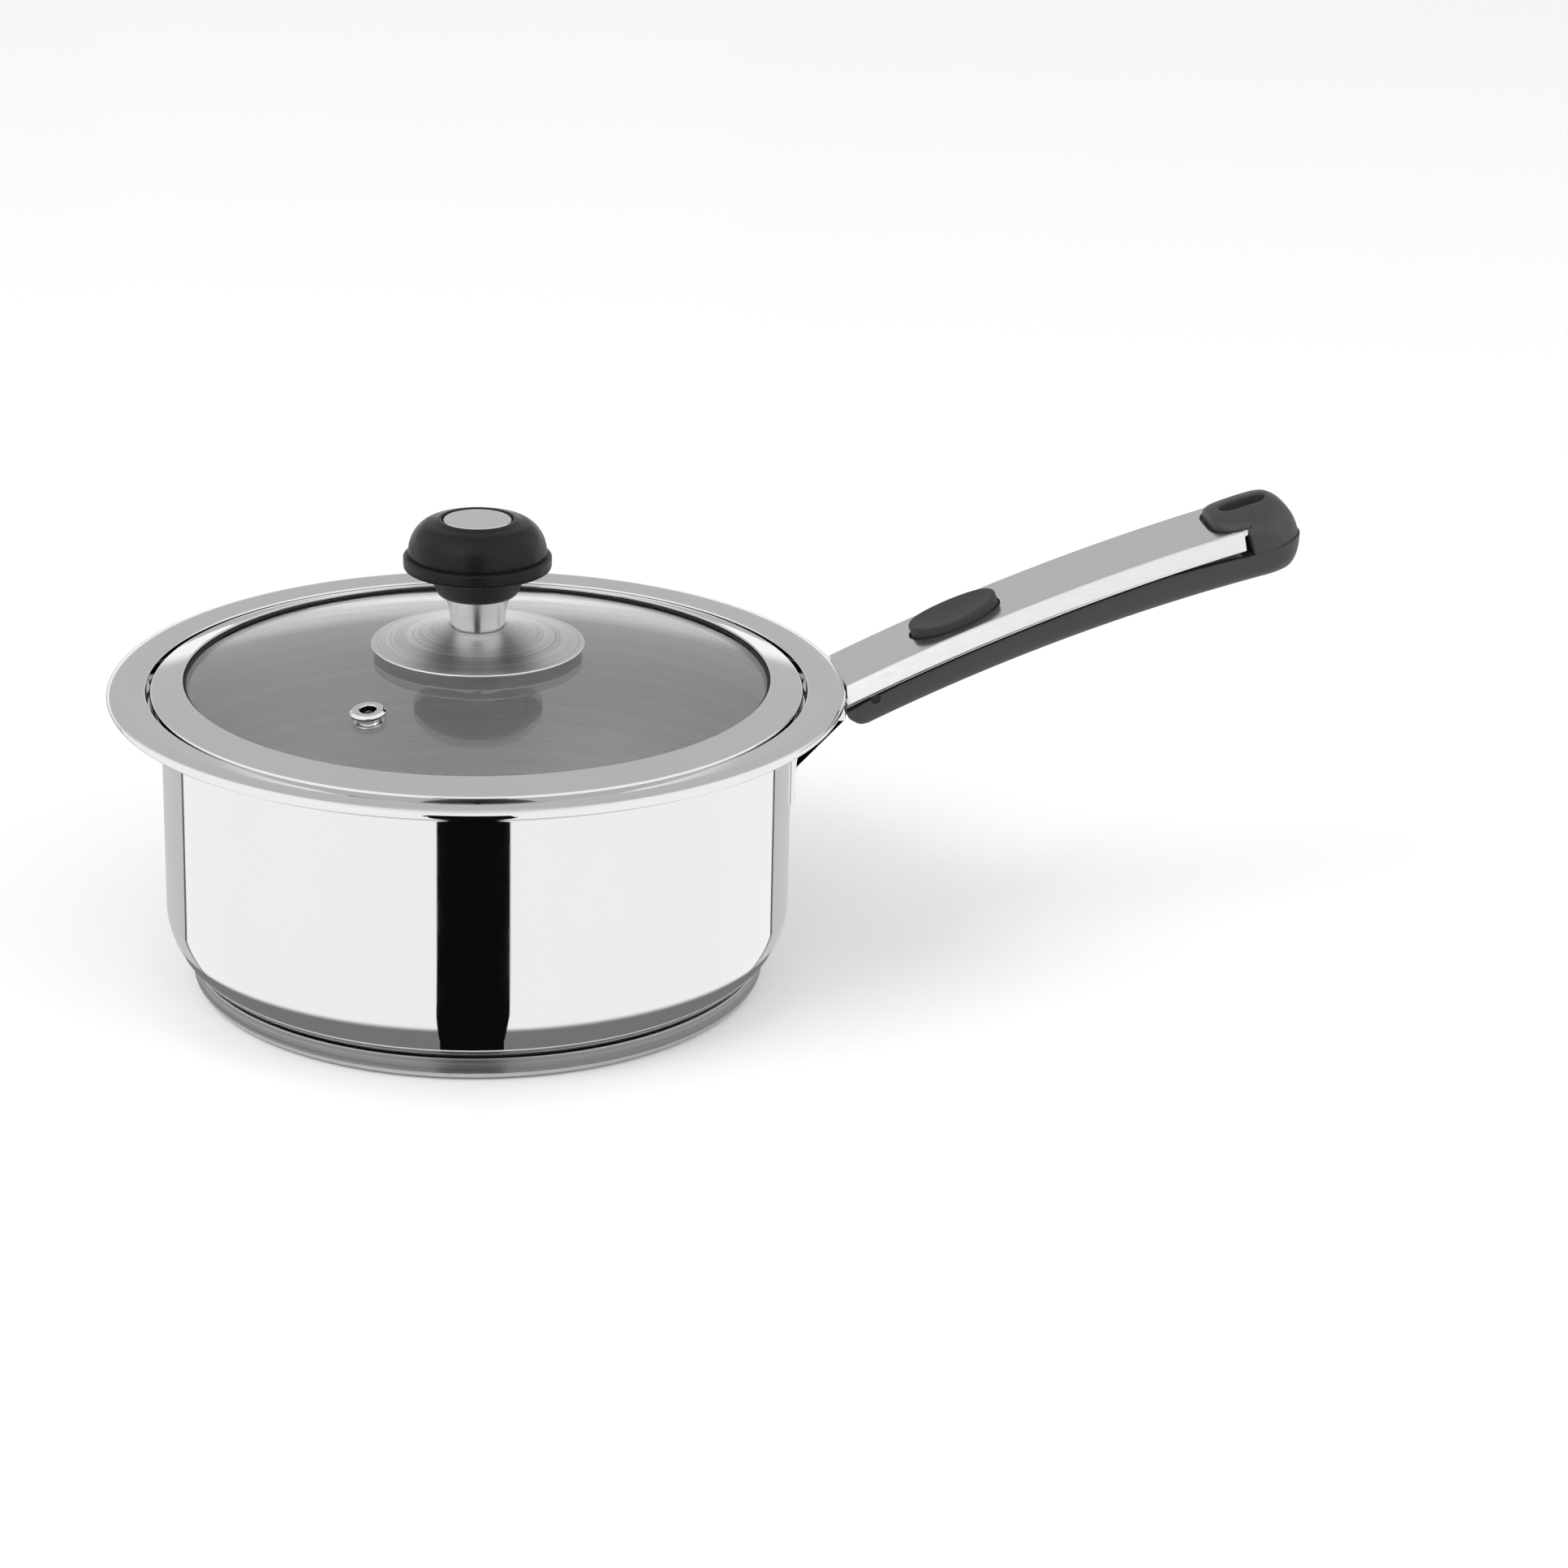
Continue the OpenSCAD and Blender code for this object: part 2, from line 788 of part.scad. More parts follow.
// Steel disc let into the top of the knob
module knob_inlay() {
    color(steel)
        translate([0, 0, knob_z + knob_h - 1])
            rotate_extrude()
                polygon([[0, 0], [inlay_d / 2, 0], [inlay_d / 2, 0.7], [inlay_d / 2 - 0.3, 1], [0, 1.1]]);
}

// Brass insert moulded into the knob
module knob_insert() {
    color("goldenrod")
        translate([0, 0, knob_z])
            difference() {
                cylinder(r = 4, h = insert_l + 1);
                translate([0, 0, -1])
                    cylinder(r = bore_r, h = insert_l + 1.5);
            }
}

// Gasket under the glass
module lower_gasket() {
    color(silicone)
        difference() {
            translate([0, 0, glass_bottom - gasket_t])
                cylinder(r = 8, h = gasket_t - 0.12);
            translate([0, 0, glass_bottom - 5])
                cylinder(r = bore_r, h = 10);
        }
}

// Steel washer under the screw's head
module screw_washer() {
    color("lightgray")
        difference() {
            translate([0, 0, screw_head_z])
                cylinder(r = 7, h = washer_t);
            translate([0, 0, screw_head_z - 1])
                cylinder(r = bore_r, h = 5);
        }
}

pot_body();
heat_disc();
base_capsule();
handle_bracket();
handle_tang();
tang_pin();
handle_grip();
handle_shell();
handle_screw();
thumb_pad();
handle_end_cap();
end_cap_screw();
lid_screw();
lid_glass();
lid_band();
lid_seal();
vent_eyelet();
vent_washer();
knob_plate();
plate_gasket();
knob_stem();
knob();
knob_inlay();
knob_insert();
lower_gasket();
screw_washer();
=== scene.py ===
# Saucepan with a glass lid: the visible pieces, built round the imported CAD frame.
# Lengths in the builders below are millimetres; meshes are scaled to metres when they are made.
import math

import bmesh
import bpy
from mathutils import Matrix, Vector, geometry, kdtree


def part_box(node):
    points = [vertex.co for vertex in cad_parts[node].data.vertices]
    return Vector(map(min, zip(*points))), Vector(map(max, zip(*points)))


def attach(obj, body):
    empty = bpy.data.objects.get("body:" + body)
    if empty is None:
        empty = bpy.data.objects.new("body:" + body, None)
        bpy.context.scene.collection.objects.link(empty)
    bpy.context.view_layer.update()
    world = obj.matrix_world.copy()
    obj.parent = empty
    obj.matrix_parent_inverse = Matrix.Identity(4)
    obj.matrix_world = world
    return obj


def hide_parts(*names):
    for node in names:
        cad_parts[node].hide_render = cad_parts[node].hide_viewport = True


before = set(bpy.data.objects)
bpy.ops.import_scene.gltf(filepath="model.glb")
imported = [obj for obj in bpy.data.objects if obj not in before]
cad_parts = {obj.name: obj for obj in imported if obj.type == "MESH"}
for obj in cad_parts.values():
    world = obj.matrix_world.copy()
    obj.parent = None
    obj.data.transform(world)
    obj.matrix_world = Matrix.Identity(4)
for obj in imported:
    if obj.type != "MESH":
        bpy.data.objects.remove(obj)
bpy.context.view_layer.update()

MM = 0.001
sin, cos, sqrt, pi = math.sin, math.cos, math.sqrt, math.pi
rad = math.radians


def cad_box(node):
    """A node's lowest and highest corners at rest, in millimetres."""
    lo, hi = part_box(node)
    return lo / MM, hi / MM


# ---------------------------------------------------------------- dimensions, from the frame
pot_lo, pot_hi = cad_box("pot_body")
rim_r, pot_h, bottom_z = pot_hi.x, pot_hi.z, pot_lo.z
rim_out, seat_w, seat_depth, bead_w, bead_h = 13.5, 4.5, 6.0, 8.8, 4.0
wall_t = 0.8
wall_ro = rim_r - rim_out
wall_ri = wall_ro - wall_t
floor_z = bottom_z + wall_t
corner_r, corner_drop = 17.5, 1.2
corner_z = bottom_z + corner_r - corner_drop
corner_x = wall_ro - corner_r
recess_r = wall_ri + seat_w
seat_z = pot_h - seat_depth
flange_z = pot_h - wall_t
capsule_hi = cad_box("base_capsule")[1]
capsule_r, capsule_h, capsule_t = capsule_hi.x, capsule_hi.z, 0.5

band_lo, band_hi = cad_box("lid_band")
band_r, band_z, lip_z = band_hi.x, band_lo.z, band_hi.z
band_w, band_fall, band_foot = 8.4, 2.6, 5.4
band_edge_z = lip_z - band_fall
lip_r = band_r - band_w
glass_r = band_r - band_w / 2
glass_t, glass_sink = 3.6, 1.3
dome_r = 310.0
dome_top = lip_z - glass_sink + lip_r * lip_r / (2 * dome_r)
dome_cz = dome_top - dome_r
vent_at, vent_turn = 49.0, -129.0

plate_lo, plate_hi = cad_box("knob_plate")
plate_r, plate_z = plate_hi.x, plate_lo.z
stem_z = cad_box("knob_stem")[0].z
knob_lo, knob_hi = cad_box("knob")
knob_r, knob_z, knob_top = knob_hi.x, knob_lo.z, knob_hi.z
inlay_lo, inlay_hi = cad_box("knob_inlay")
inlay_r, inlay_z = inlay_hi.x, inlay_lo.z

reach = cad_box("handle_end_cap")[1].x
handle_x0 = rim_r - 1.2
handle_z0 = pot_h - 1.5
front_r = rim_r + 0.45
bend_r, belly_r, start_slope = 640.0, 540.0, rad(25.4)
flat_half, shell_half = 12.4, 15.4
grip_half, grip_depth, seam_depth = 14.2, 12.4, 6.6
bend_x = handle_x0 + bend_r * sin(start_slope)
bend_z = handle_z0 - bend_r * cos(start_slope)
belly_x = handle_x0 + (grip_depth + belly_r) * sin(start_slope)
belly_z = handle_z0 - (grip_depth + belly_r) * cos(start_slope)
shell_end, hump_nose = reach - 17.5, reach - 24.1
hump_half, nose_r = 11.6, 7.6
slot_x, tip_r = reach - 14.3, 10.0
pad_x = wall_ro + 43.3
pad_a, pad_b = 12.0, 8.1


# ---------------------------------------------------------------- mesh helpers
def arc(cx, cy, rx, ry, a0, a1, n):
    """Points along an ellipse's arc, angles in degrees."""
    out = []
    for i in range(n + 1):
        a = rad(a0 + (a1 - a0) * i / n)
        out.append((cx + rx * cos(a), cy + ry * sin(a)))
    return out


def fillet(points, steps=5):
    """A closed outline whose points may carry a radius: (x, y) stays, (x, y, r) is rounded."""
    out = []
    n = len(points)
    for i, p in enumerate(points):
        if len(p) == 2 or p[2] <= 0:
            out.append((p[0], p[1]))
            continue
        a = Vector(points[i - 1][:2]) - Vector(p[:2])
        b = Vector(points[(i + 1) % n][:2]) - Vector(p[:2])
        la, lb = a.length, b.length
        a.normalize()
        b.normalize()
        half = math.acos(max(-1.0, min(1.0, a.dot(b)))) / 2
        if half > pi / 2 - 0.01:
            out.append((p[0], p[1]))
            continue
        reach_ = min(p[2] / math.tan(half), 0.49 * la, 0.49 * lb)
        r = reach_ * math.tan(half)
        c = Vector(p[:2]) + (a + b).normalized() * (r / sin(half))
        s, e = Vector(p[:2]) + a * reach_ - c, Vector(p[:2]) + b * reach_ - c
        a0 = math.atan2(s.y, s.x)
        turn = math.atan2(e.y, e.x) - a0
        turn = (turn + pi) % (2 * pi) - pi
        for k in range(steps + 1):
            t = a0 + turn * k / steps
            out.append((c.x + r * cos(t), c.y + r * sin(t)))
    return out


def even(ob, sharp=40):
    """Smooth faces with sharp edges kept, and normals weighted by face area."""
    for p in ob.data.polygons:
        p.use_smooth = True
    ob.data.set_sharp_from_angle(angle=rad(sharp))
    w = ob.modifiers.new("Even shading", "WEIGHTED_NORMAL")
    w.keep_sharp = True
    w.weight = 100
    return ob


def finish_mesh(name, bm, materials, sharp=40, weighted=True):
    """Makes a smooth-shaded object in metres from a bmesh in millimetres."""
    bmesh.ops.recalc_face_normals(bm, faces=bm.faces)
    me = bpy.data.meshes.new(name)
    for f in bm.faces:
        f.smooth = True
    bmesh.ops.scale(bm, vec=(MM, MM, MM), verts=bm.verts)
    bm.to_mesh(me)
    bm.free()
    me.set_sharp_from_angle(angle=rad(sharp))
    ob = bpy.data.objects.new(name, me)
    bpy.context.scene.collection.objects.link(ob)
    for m in materials:
        me.materials.append(m)
    return even(ob, sharp) if weighted else ob


def lathe(name, profile, materials, pick=None, segments=256, matrix=None):
    """Turns a closed (radius, height) outline about Z. pick(r, z) gives a face's material index."""
    bm = bmesh.new()
    n = len(profile)
    rings = []
    for r, z in profile:
        if r < 1e-6:
            v = bm.verts.new((0, 0, z))
            rings.append([v] * segments)
        else:
            turns = [2 * pi * k / segments for k in range(segments)]
            rings.append([bm.verts.new((r * cos(a), r * sin(a), z)) for a in turns])
    for i in range(n):
        a, b = rings[i], rings[(i + 1) % n]
        (r0, z0), (r1, z1) = profile[i], profile[(i + 1) % n]
        if r0 < 1e-6 and r1 < 1e-6:
            continue
        index = pick((r0 + r1) / 2, (z0 + z1) / 2) if pick else 0
        for k in range(segments):
            j = (k + 1) % segments
            quad = []
            for v in (a[k], a[j], b[j], b[k]):
                if v not in quad:
                    quad.append(v)
            if len(quad) > 2:
                f = bm.faces.new(quad)
                f.material_index = index
    if matrix is not None:
        bmesh.ops.transform(bm, matrix=matrix, verts=bm.verts)
    return finish_mesh(name, bm, materials)


def loft(name, rings, materials):
    """Joins rings of the same number of 3-D points into a closed skin."""
    bm = bmesh.new()
    made = [[bm.verts.new(p) for p in ring] for ring in rings]
    n = len(rings[0])
    for a, b in zip(made, made[1:]):
        for k in range(n):
            j = (k + 1) % n
            bm.faces.new((a[k], a[j], b[j], b[k]))
    bm.faces.new(made[0])
    bm.faces.new(list(reversed(made[-1])))
    return finish_mesh(name, bm, materials)


def inset(loop, by):
    """A closed loop moved inwards by a distance."""
    n = len(loop)
    area = sum(loop[i - 1][0] * loop[i][1] - loop[i][0] * loop[i - 1][1] for i in range(n))
    side = 1 if area > 0 else -1
    out = []
    for i in range(n):
        p, q, s = Vector(loop[i - 1]), Vector(loop[i]), Vector(loop[(i + 1) % n])
        d1, d2 = (q - p).normalized(), (s - q).normalized()
        n1, n2 = Vector((-d1.y, d1.x)) * side, Vector((-d2.y, d2.x)) * side
        m = n1 + n2
        m /= max(0.4, m.dot(n1))
        out.append(q + m * by)
    return out


def inside(loop, p):
    """Whether a point lies within a closed loop."""
    hit = False
    for i in range(len(loop)):
        a, b = loop[i - 1], loop[i]
        if (a[1] > p.y) != (b[1] > p.y) and p.x < (b[0] - a[0]) * (p.y - a[1]) / (b[1] - a[1]) + a[0]:
            hit = not hit
    return hit


def spaced(lo, hi, step):
    """Even values from lo to hi, about a step apart."""
    n = max(1, int(round((hi - lo) / step)))
    return [lo + (hi - lo) * i / n for i in range(n + 1)]


def split_long(loop, step):
    """The same closed loop with no stretch longer than step."""
    out = []
    for i in range(len(loop)):
        p, q = Vector(loop[i][:2]), Vector(loop[(i + 1) % len(loop)][:2])
        n = max(1, int(math.ceil((q - p).length / step)))
        out += [tuple(p.lerp(q, k / n)) for k in range(n)]
    return out


def plate(name, outline, holes, top, under, edge, materials, lines, clear=0.5, steps=4, sharp=50,
          roll=None, hole_edge=None, matrix=None, weighted=True):
    """A sheet seen in plan: outline and holes are loops of (x, y); top and under give its two heights over
    the grid lines (xs, ys). Its upper edge falls by roll over the width edge, and a hole's by its own."""
    roll = edge if roll is None else roll
    hole_edge = edge if hole_edge is None else hole_edge
    full = [outline] + list(holes)
    falls = [(edge, roll)] + [(hole_edge, hole_edge)] * len(holes)
    loops = [inset(outline, edge)] + [inset(h, -hole_edge) for h in holes]
    pts, edges = [], []
    for lp in loops:
        start = len(pts)
        pts += [Vector((p[0], p[1])) for p in lp]
        edges += [(start + i, start + (i + 1) % len(lp)) for i in range(len(lp))]
    rim = [Vector((p[0], p[1], 0)) for p in pts]
    near = kdtree.KDTree(len(rim))
    for i, p in enumerate(rim):
        near.insert(p, i)
    near.balance()
    for x in lines[0]:
        for y in lines[1]:
            p = Vector((x, y))
            in_hole = any(inside(hole, p) for hole in loops[1:])
            if near.find((x, y, 0))[2] > clear and inside(loops[0], p) and not in_hole:
                pts.append(p)
    vs, _, fs, ov, _, _ = geometry.delaunay_2d_cdt(pts, edges, [], 1, 1e-6)
    bm = bmesh.new()
    upper = [bm.verts.new((v.x, v.y, top(v.x, v.y))) for v in vs]
    lower = [bm.verts.new((v.x, v.y, under(v.x, v.y))) for v in vs]
    where = {}
    for i, src in enumerate(ov):
        for o in src:
            where[o] = i
    for f in fs:
        c = sum((vs[i] for i in f), Vector((0, 0))) / len(f)
        if inside(loops[0], c) and not any(inside(h, c) for h in loops[1:]):
            bm.faces.new([upper[i] for i in f])
            bm.faces.new([lower[i] for i in reversed(f)])
    first = 0
    for lp, ends, (wide, fall) in zip(loops, full, falls):
        n = len(lp)
        rows = [[upper[where[first + i]] for i in range(n)]]
        for k in range(1, steps + 1):
            a = pi / 2 * k / steps
            row = []
            for i in range(n):
                q = Vector(lp[i]).lerp(Vector(ends[i]), sin(a))
                row.append(bm.verts.new((q.x, q.y, top(q.x, q.y) - fall * (1 - cos(a)))))
            rows.append(row)
        rows.append([bm.verts.new((x, y, under(x, y))) for x, y in ends])
        rows.append([lower[where[first + i]] for i in range(n)])
        for a, b in zip(rows, rows[1:]):
            for i in range(n):
                j = (i + 1) % n
                bm.faces.new((a[i], a[j], b[j], b[i]))
        first += n
    bmesh.ops.delete(bm, geom=[v for v in bm.verts if not v.link_faces], context="VERTS")
    if matrix is not None:
        bmesh.ops.transform(bm, matrix=matrix, verts=bm.verts)
    return finish_mesh(name, bm, materials, sharp, weighted)


def cutter(name, bm):
    """A plain object in metres, for use as a cutting tool."""
    me = bpy.data.meshes.new(name)
    bmesh.ops.recalc_face_normals(bm, faces=bm.faces)
    bmesh.ops.scale(bm, vec=(MM, MM, MM), verts=bm.verts)
    bm.to_mesh(me)
    bm.free()
    ob = bpy.data.objects.new(name, me)
    bpy.context.scene.collection.objects.link(ob)
    return ob


def bake(ob):
    """Applies every modifier of ob to its mesh."""
    dg = bpy.context.evaluated_depsgraph_get()
    me = bpy.data.meshes.new_from_object(ob.evaluated_get(dg))
    ob.modifiers.clear()
    ob.data = me
    return ob


def cut(ob, *tools):
    """Takes each tool away from ob and deletes the tool."""
    for t in tools:
        m = ob.modifiers.new("cut", "BOOLEAN")
        m.operation = "DIFFERENCE"
        m.solver = "EXACT"
        m.object = t
        bpy.context.view_layer.update()
        bake(ob)
        bpy.data.objects.remove(t)
    return ob


def round_bar(r, h, matrix, segments=48):
    """A round cutting tool of radius r and height h from its origin up."""
    bm = bmesh.new()
    bmesh.ops.create_cone(bm, cap_ends=True, segments=segments, radius1=r, radius2=r, depth=h)
    bmesh.ops.translate(bm, vec=(0, 0, h / 2), verts=bm.verts)
    bmesh.ops.transform(bm, matrix=matrix, verts=bm.verts)
    return bm


# ---------------------------------------------------------------- materials
class Net:
    """A material's node tree, with short calls for adding nodes."""

    def __init__(self, name):
        self.mat = bpy.data.materials.new(name)
        self.mat.use_nodes = True
        self.tree = self.mat.node_tree
        self.bsdf = self.tree.nodes["Principled BSDF"]
        self.coord = self.tree.nodes.new("ShaderNodeTexCoord").outputs["Object"]

    def link(self, a, b):
        self.tree.links.new(a, b)

    def scaled(self, vec):
        m = self.tree.nodes.new("ShaderNodeMapping")
        m.inputs["Scale"].default_value = vec
        self.link(self.coord, m.inputs["Vector"])
        return m.outputs["Vector"]

    def math(self, op, a, b=None, c=None):
        n = self.tree.nodes.new("ShaderNodeMath")
        n.operation = op
        for i, v in enumerate((a, b, c)):
            if v is None:
                continue
            if isinstance(v, (int, float)):
                n.inputs[i].default_value = v
            else:
                self.link(v, n.inputs[i])
        return n.outputs[0]

    def noise(self, vector, scale, detail=3.0, rough=0.5):
        n = self.tree.nodes.new("ShaderNodeTexNoise")
        n.inputs["Scale"].default_value = scale
        n.inputs["Detail"].default_value = detail
        n.inputs["Roughness"].default_value = rough
        self.link(vector, n.inputs["Vector"])
        return n.outputs["Fac"]

    def ramp(self, fac, stops):
        n = self.tree.nodes.new("ShaderNodeValToRGB")
        for element, (pos, col) in zip(n.color_ramp.elements, (stops[0], stops[-1])):
            element.position, element.color = pos, (*col, 1)
        for pos, col in stops[1:-1]:
            n.color_ramp.elements.new(pos).color = (*col, 1)
        self.link(fac, n.inputs["Fac"])
        return n.outputs["Color"]

    def fit(self, fac, lo, hi, from_lo=0.3, from_hi=0.7):
        n = self.tree.nodes.new("ShaderNodeMapRange")
        n.inputs["From Min"].default_value, n.inputs["From Max"].default_value = from_lo, from_hi
        n.inputs["To Min"].default_value, n.inputs["To Max"].default_value = lo, hi
        self.link(fac, n.inputs["Value"])
        return n.outputs["Result"]

    def bump(self, height, distance, strength=1.0):
        n = self.tree.nodes.new("ShaderNodeBump")
        n.inputs["Distance"].default_value = distance
        n.inputs["Strength"].default_value = strength
        self.link(height, n.inputs["Height"])
        return n.outputs["Normal"]

    def set(self, **values):
        for key, v in values.items():
            socket = self.bsdf.inputs[key.replace("_", " ")]
            if isinstance(v, bpy.types.NodeSocket):
                self.link(v, socket)
            else:
                socket.default_value = v if not isinstance(v, tuple) or len(v) != 3 else (*v, 1)
        return self.mat


def scale_tone(tone, by):
    return tuple(min(1, c * by) for c in tone)


def polished(name, tone=(0.80, 0.80, 0.81), rough=0.05):
    """Mirror-polished stainless steel: faint wiping marks in its gloss and the slightest waviness."""
    n = Net(name)
    smear = n.noise(n.scaled((1.0, 1.0, 1.6)), 42, 4, 0.6)
    fine = n.noise(n.scaled((1.0, 1.0, 1.0)), 900, 2, 0.5)
    gloss = n.math("ADD", n.fit(smear, rough, rough + 0.035), n.fit(fine, 0.0, 0.012))
    cloud = n.noise(n.scaled((1.0, 1.0, 0.6)), 30, 3, 0.5)
    colour = n.ramp(cloud, [(0.3, scale_tone(tone, 0.985)), (0.7, tone)])
    wave = n.noise(n.scaled((1.0, 1.0, 0.7)), 26, 1, 0.4)
    return n.set(Base_Color=colour, Metallic=1.0, Roughness=gloss, Normal=n.bump(wave, 0.00006, 0.5))


def brushed(name, tone, rough, depth, fine, broken, contrast=0.16, wide_part=0.4, spin=0.75):
    """Steel spun against an abrasive: broken circular lines that show in its tone, gloss and relief."""
    n = Net(name)
    split = n.tree.nodes.new("ShaderNodeSeparateXYZ")
    n.link(n.coord, split.inputs[0])
    x, y, z = (split.outputs[axis] for axis in "XYZ")
    r2 = n.math("ADD", n.math("MULTIPLY", x, x), n.math("MULTIPLY", y, y))
    across = n.math("ADD", n.math("SQRT", r2), z)

    def turned_lines(along, off, rough):
        place = n.tree.nodes.new("ShaderNodeCombineXYZ")
        for axis, source, scale in (("X", x, along), ("Y", y, along), ("Z", across, off)):
            n.link(n.math("MULTIPLY", source, scale), place.inputs[axis])
        return n.noise(place.outputs[0], 1.0, 2, rough)

    thin = turned_lines(broken, fine, 0.6)
    wide = turned_lines(broken * 0.4, fine * 0.18, 0.5)
    both = n.math("ADD", n.math("MULTIPLY", thin, 1 - wide_part), n.math("MULTIPLY", wide, wide_part))
    dark, light = scale_tone(tone, 1 - contrast), scale_tone(tone, 1 + 0.7 * contrast)
    colour = n.ramp(both, [(0.32, dark), (0.5, tone), (0.68, light)])
    gloss = n.fit(both, rough * 0.85, rough * 1.15)
    tangent = n.tree.nodes.new("ShaderNodeTangent")
    tangent.direction_type = "RADIAL"
    tangent.axis = "Z"
    return n.set(Base_Color=colour, Metallic=1.0, Roughness=gloss, Anisotropic=spin,
                 Tangent=tangent.outputs[0], Normal=n.bump(both, depth, 0.8))


def straight_brushed(name, tone=(0.62, 0.62, 0.63), rough=0.28, fine=3200.0, contrast=0.15, depth=0.00001):
    """Steel with straight grain along X, for the handle, screws, pins and strips."""
    n = Net(name)
    lines = n.noise(n.scaled((0.02 * fine, fine, 0.3 * fine)), 1.0, 3, 0.6)
    smear = n.noise(n.scaled((0.6, 1.0, 1.0)), 45, 3, 0.55)
    colour = n.ramp(lines, [(0.3, scale_tone(tone, 1 - contrast)), (0.7, tone)])
    gloss = n.math("ADD", n.fit(lines, rough * 0.85, rough * 1.2), n.fit(smear, -0.012, 0.02))
    return n.set(Base_Color=colour, Metallic=1.0, Roughness=gloss, Normal=n.bump(lines, depth, 0.6))


def moulded(name, tone, rough=0.42, grain=1500.0, depth=0.00003, specular=0.45):
    """Moulded phenolic or plastic: a fine pebbled skin, uneven gloss and a slightly dusty tone."""
    n = Net(name)
    pebble = n.noise(n.scaled((1, 1, 1)), grain, 2, 0.5)
    flow = n.noise(n.scaled((1, 1, 1.5)), 55, 3, 0.55)
    mix = n.math("ADD", n.math("MULTIPLY", pebble, 0.35), n.math("MULTIPLY", flow, 0.65))
    colour = n.ramp(mix, [(0.32, scale_tone(tone, 0.86)), (0.68, scale_tone(tone, 1.12))])
    gloss = n.math("ADD", n.fit(flow, rough - 0.05, rough + 0.05), n.fit(pebble, -0.03, 0.03))
    return n.set(Base_Color=colour, Roughness=gloss, Specular_IOR_Level=specular,
                 Normal=n.bump(pebble, depth, 0.9))


def clear_glass(name):
    """Clear tempered glass with a faint film of wiping marks."""
    n = Net(name)
    film = n.noise(n.scaled((1.0, 1.4, 1.0)), 34, 4, 0.6)
    colour = n.ramp(film, [(0.3, (0.935, 0.94, 0.94)), (0.7, (0.955, 0.96, 0.96))])
    wave = n.noise(n.scaled((1.0, 1.0, 1.0)), 14, 1, 0.4)
    gloss = n.fit(film, 0.0, 0.006)
    return n.set(Base_Color=colour, Roughness=gloss, IOR=1.52, Transmission_Weight=1.0,
                 Normal=n.bump(wave, 0.00002, 0.2))


steel_mirror = polished("steel_polished", rough=0.018)
steel_handle = straight_brushed("steel_satin_handle", (0.78, 0.78, 0.79), 0.17, 2600.0, 0.05, 0.000004)
steel_inside = brushed("steel_brushed_inside", (0.8, 0.8, 0.8), 0.47, 0.00001, 1500.0, 3.0, 0.12, 0.35, 0.5)
steel_spun = brushed("steel_spun", (0.72, 0.72, 0.73), 0.34, 0.00003, 2600.0, 9.0, 0.34, 0.35, 0.6)
steel_inlay = brushed("steel_satin_inlay", (0.76, 0.76, 0.77), 0.3, 0.000005, 4200.0, 14.0, 0.06, 0.3, 0.3)
steel_stem = brushed("steel_turned", (0.60, 0.60, 0.61), 0.13, 0.000005, 2500.0, 8.0, 0.08, 0.2, 0.3)
steel_base = brushed("steel_base", (0.62, 0.62, 0.63), 0.5, 0.00001, 3600.0, 6.0, 0.22, 0.4, 0.3)
steel_grain = straight_brushed("steel_plain")
steel_dark = straight_brushed("steel_blackened", (0.035, 0.035, 0.036), 0.4)
alloy = brushed("aluminium_disc", (0.78, 0.78, 0.79), 0.4, 0.00002, 3000.0, 30.0)
brass = straight_brushed("brass", (0.75, 0.55, 0.22), 0.3)
black_knob = moulded("phenolic_knob", (0.006, 0.006, 0.0065), 0.3, 950.0, 0.00006, 0.2)
black_grip = moulded("phenolic_grip", (0.032, 0.032, 0.033), 0.5, 2400.0, 0.00002, 0.4)
soft_black = moulded("silicone_black", (0.022, 0.022, 0.023), 0.55, 3000.0, 0.00001, 0.4)
seal_black = moulded("silicone_seal", (0.008, 0.008, 0.008), 0.6, 3000.0, 0.00001, 0.25)
glass = clear_glass("glass_tempered")


def keep(node, material):
    """Leaves a CAD node visible as it is, in a material of this scene."""
    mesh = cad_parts[node].data
    mesh.materials.clear()
    mesh.materials.append(material)


def piece(ob, body, node):
    """Fixes a visible piece to its body and hides the CAD node that it stands for."""
    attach(ob, body)
    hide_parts(node)


# ---------------------------------------------------------------- pot
bead_rx, bead_ry = bead_w / 2, bead_h / 2
bead_x, bead_z = rim_r - bead_rx, pot_h - bead_ry
back_r = recess_r + wall_t
body = [(0, bottom_z)]
body += arc(corner_x, corner_z, corner_r, corner_r, -68.7, 0, 20)
wall_top = [(wall_ro, seat_z - wall_t - 1, 1.2), (wall_ro + 1, seat_z - wall_t, 0.8),
            (back_r, seat_z - wall_t, 0.9), (back_r, flange_z - wall_t, 0.4)]
under_bead = arc(bead_x, bead_z, bead_rx - wall_t, bead_ry - wall_t, 90, -90, 20)
hem = [(back_r + 1, bead_z - bead_ry + wall_t + 0.3), (back_r + 1, bead_z - bead_ry + 0.3)]
over_bead = arc(bead_x, bead_z, bead_rx, bead_ry, -90, 90, 36)
seat = [(recess_r, flange_z, 0.6), (recess_r, seat_z, 0.5), (wall_ri, seat_z, 0.9)]
inner = arc(corner_x, corner_z, corner_r - wall_t, corner_r - wall_t, 0, -68.1, 20)
inner[-1] = (inner[-1][0], floor_z)
outline = fillet(body + wall_top + under_bead + hem + over_bead + seat + inner + [(0, floor_z)])


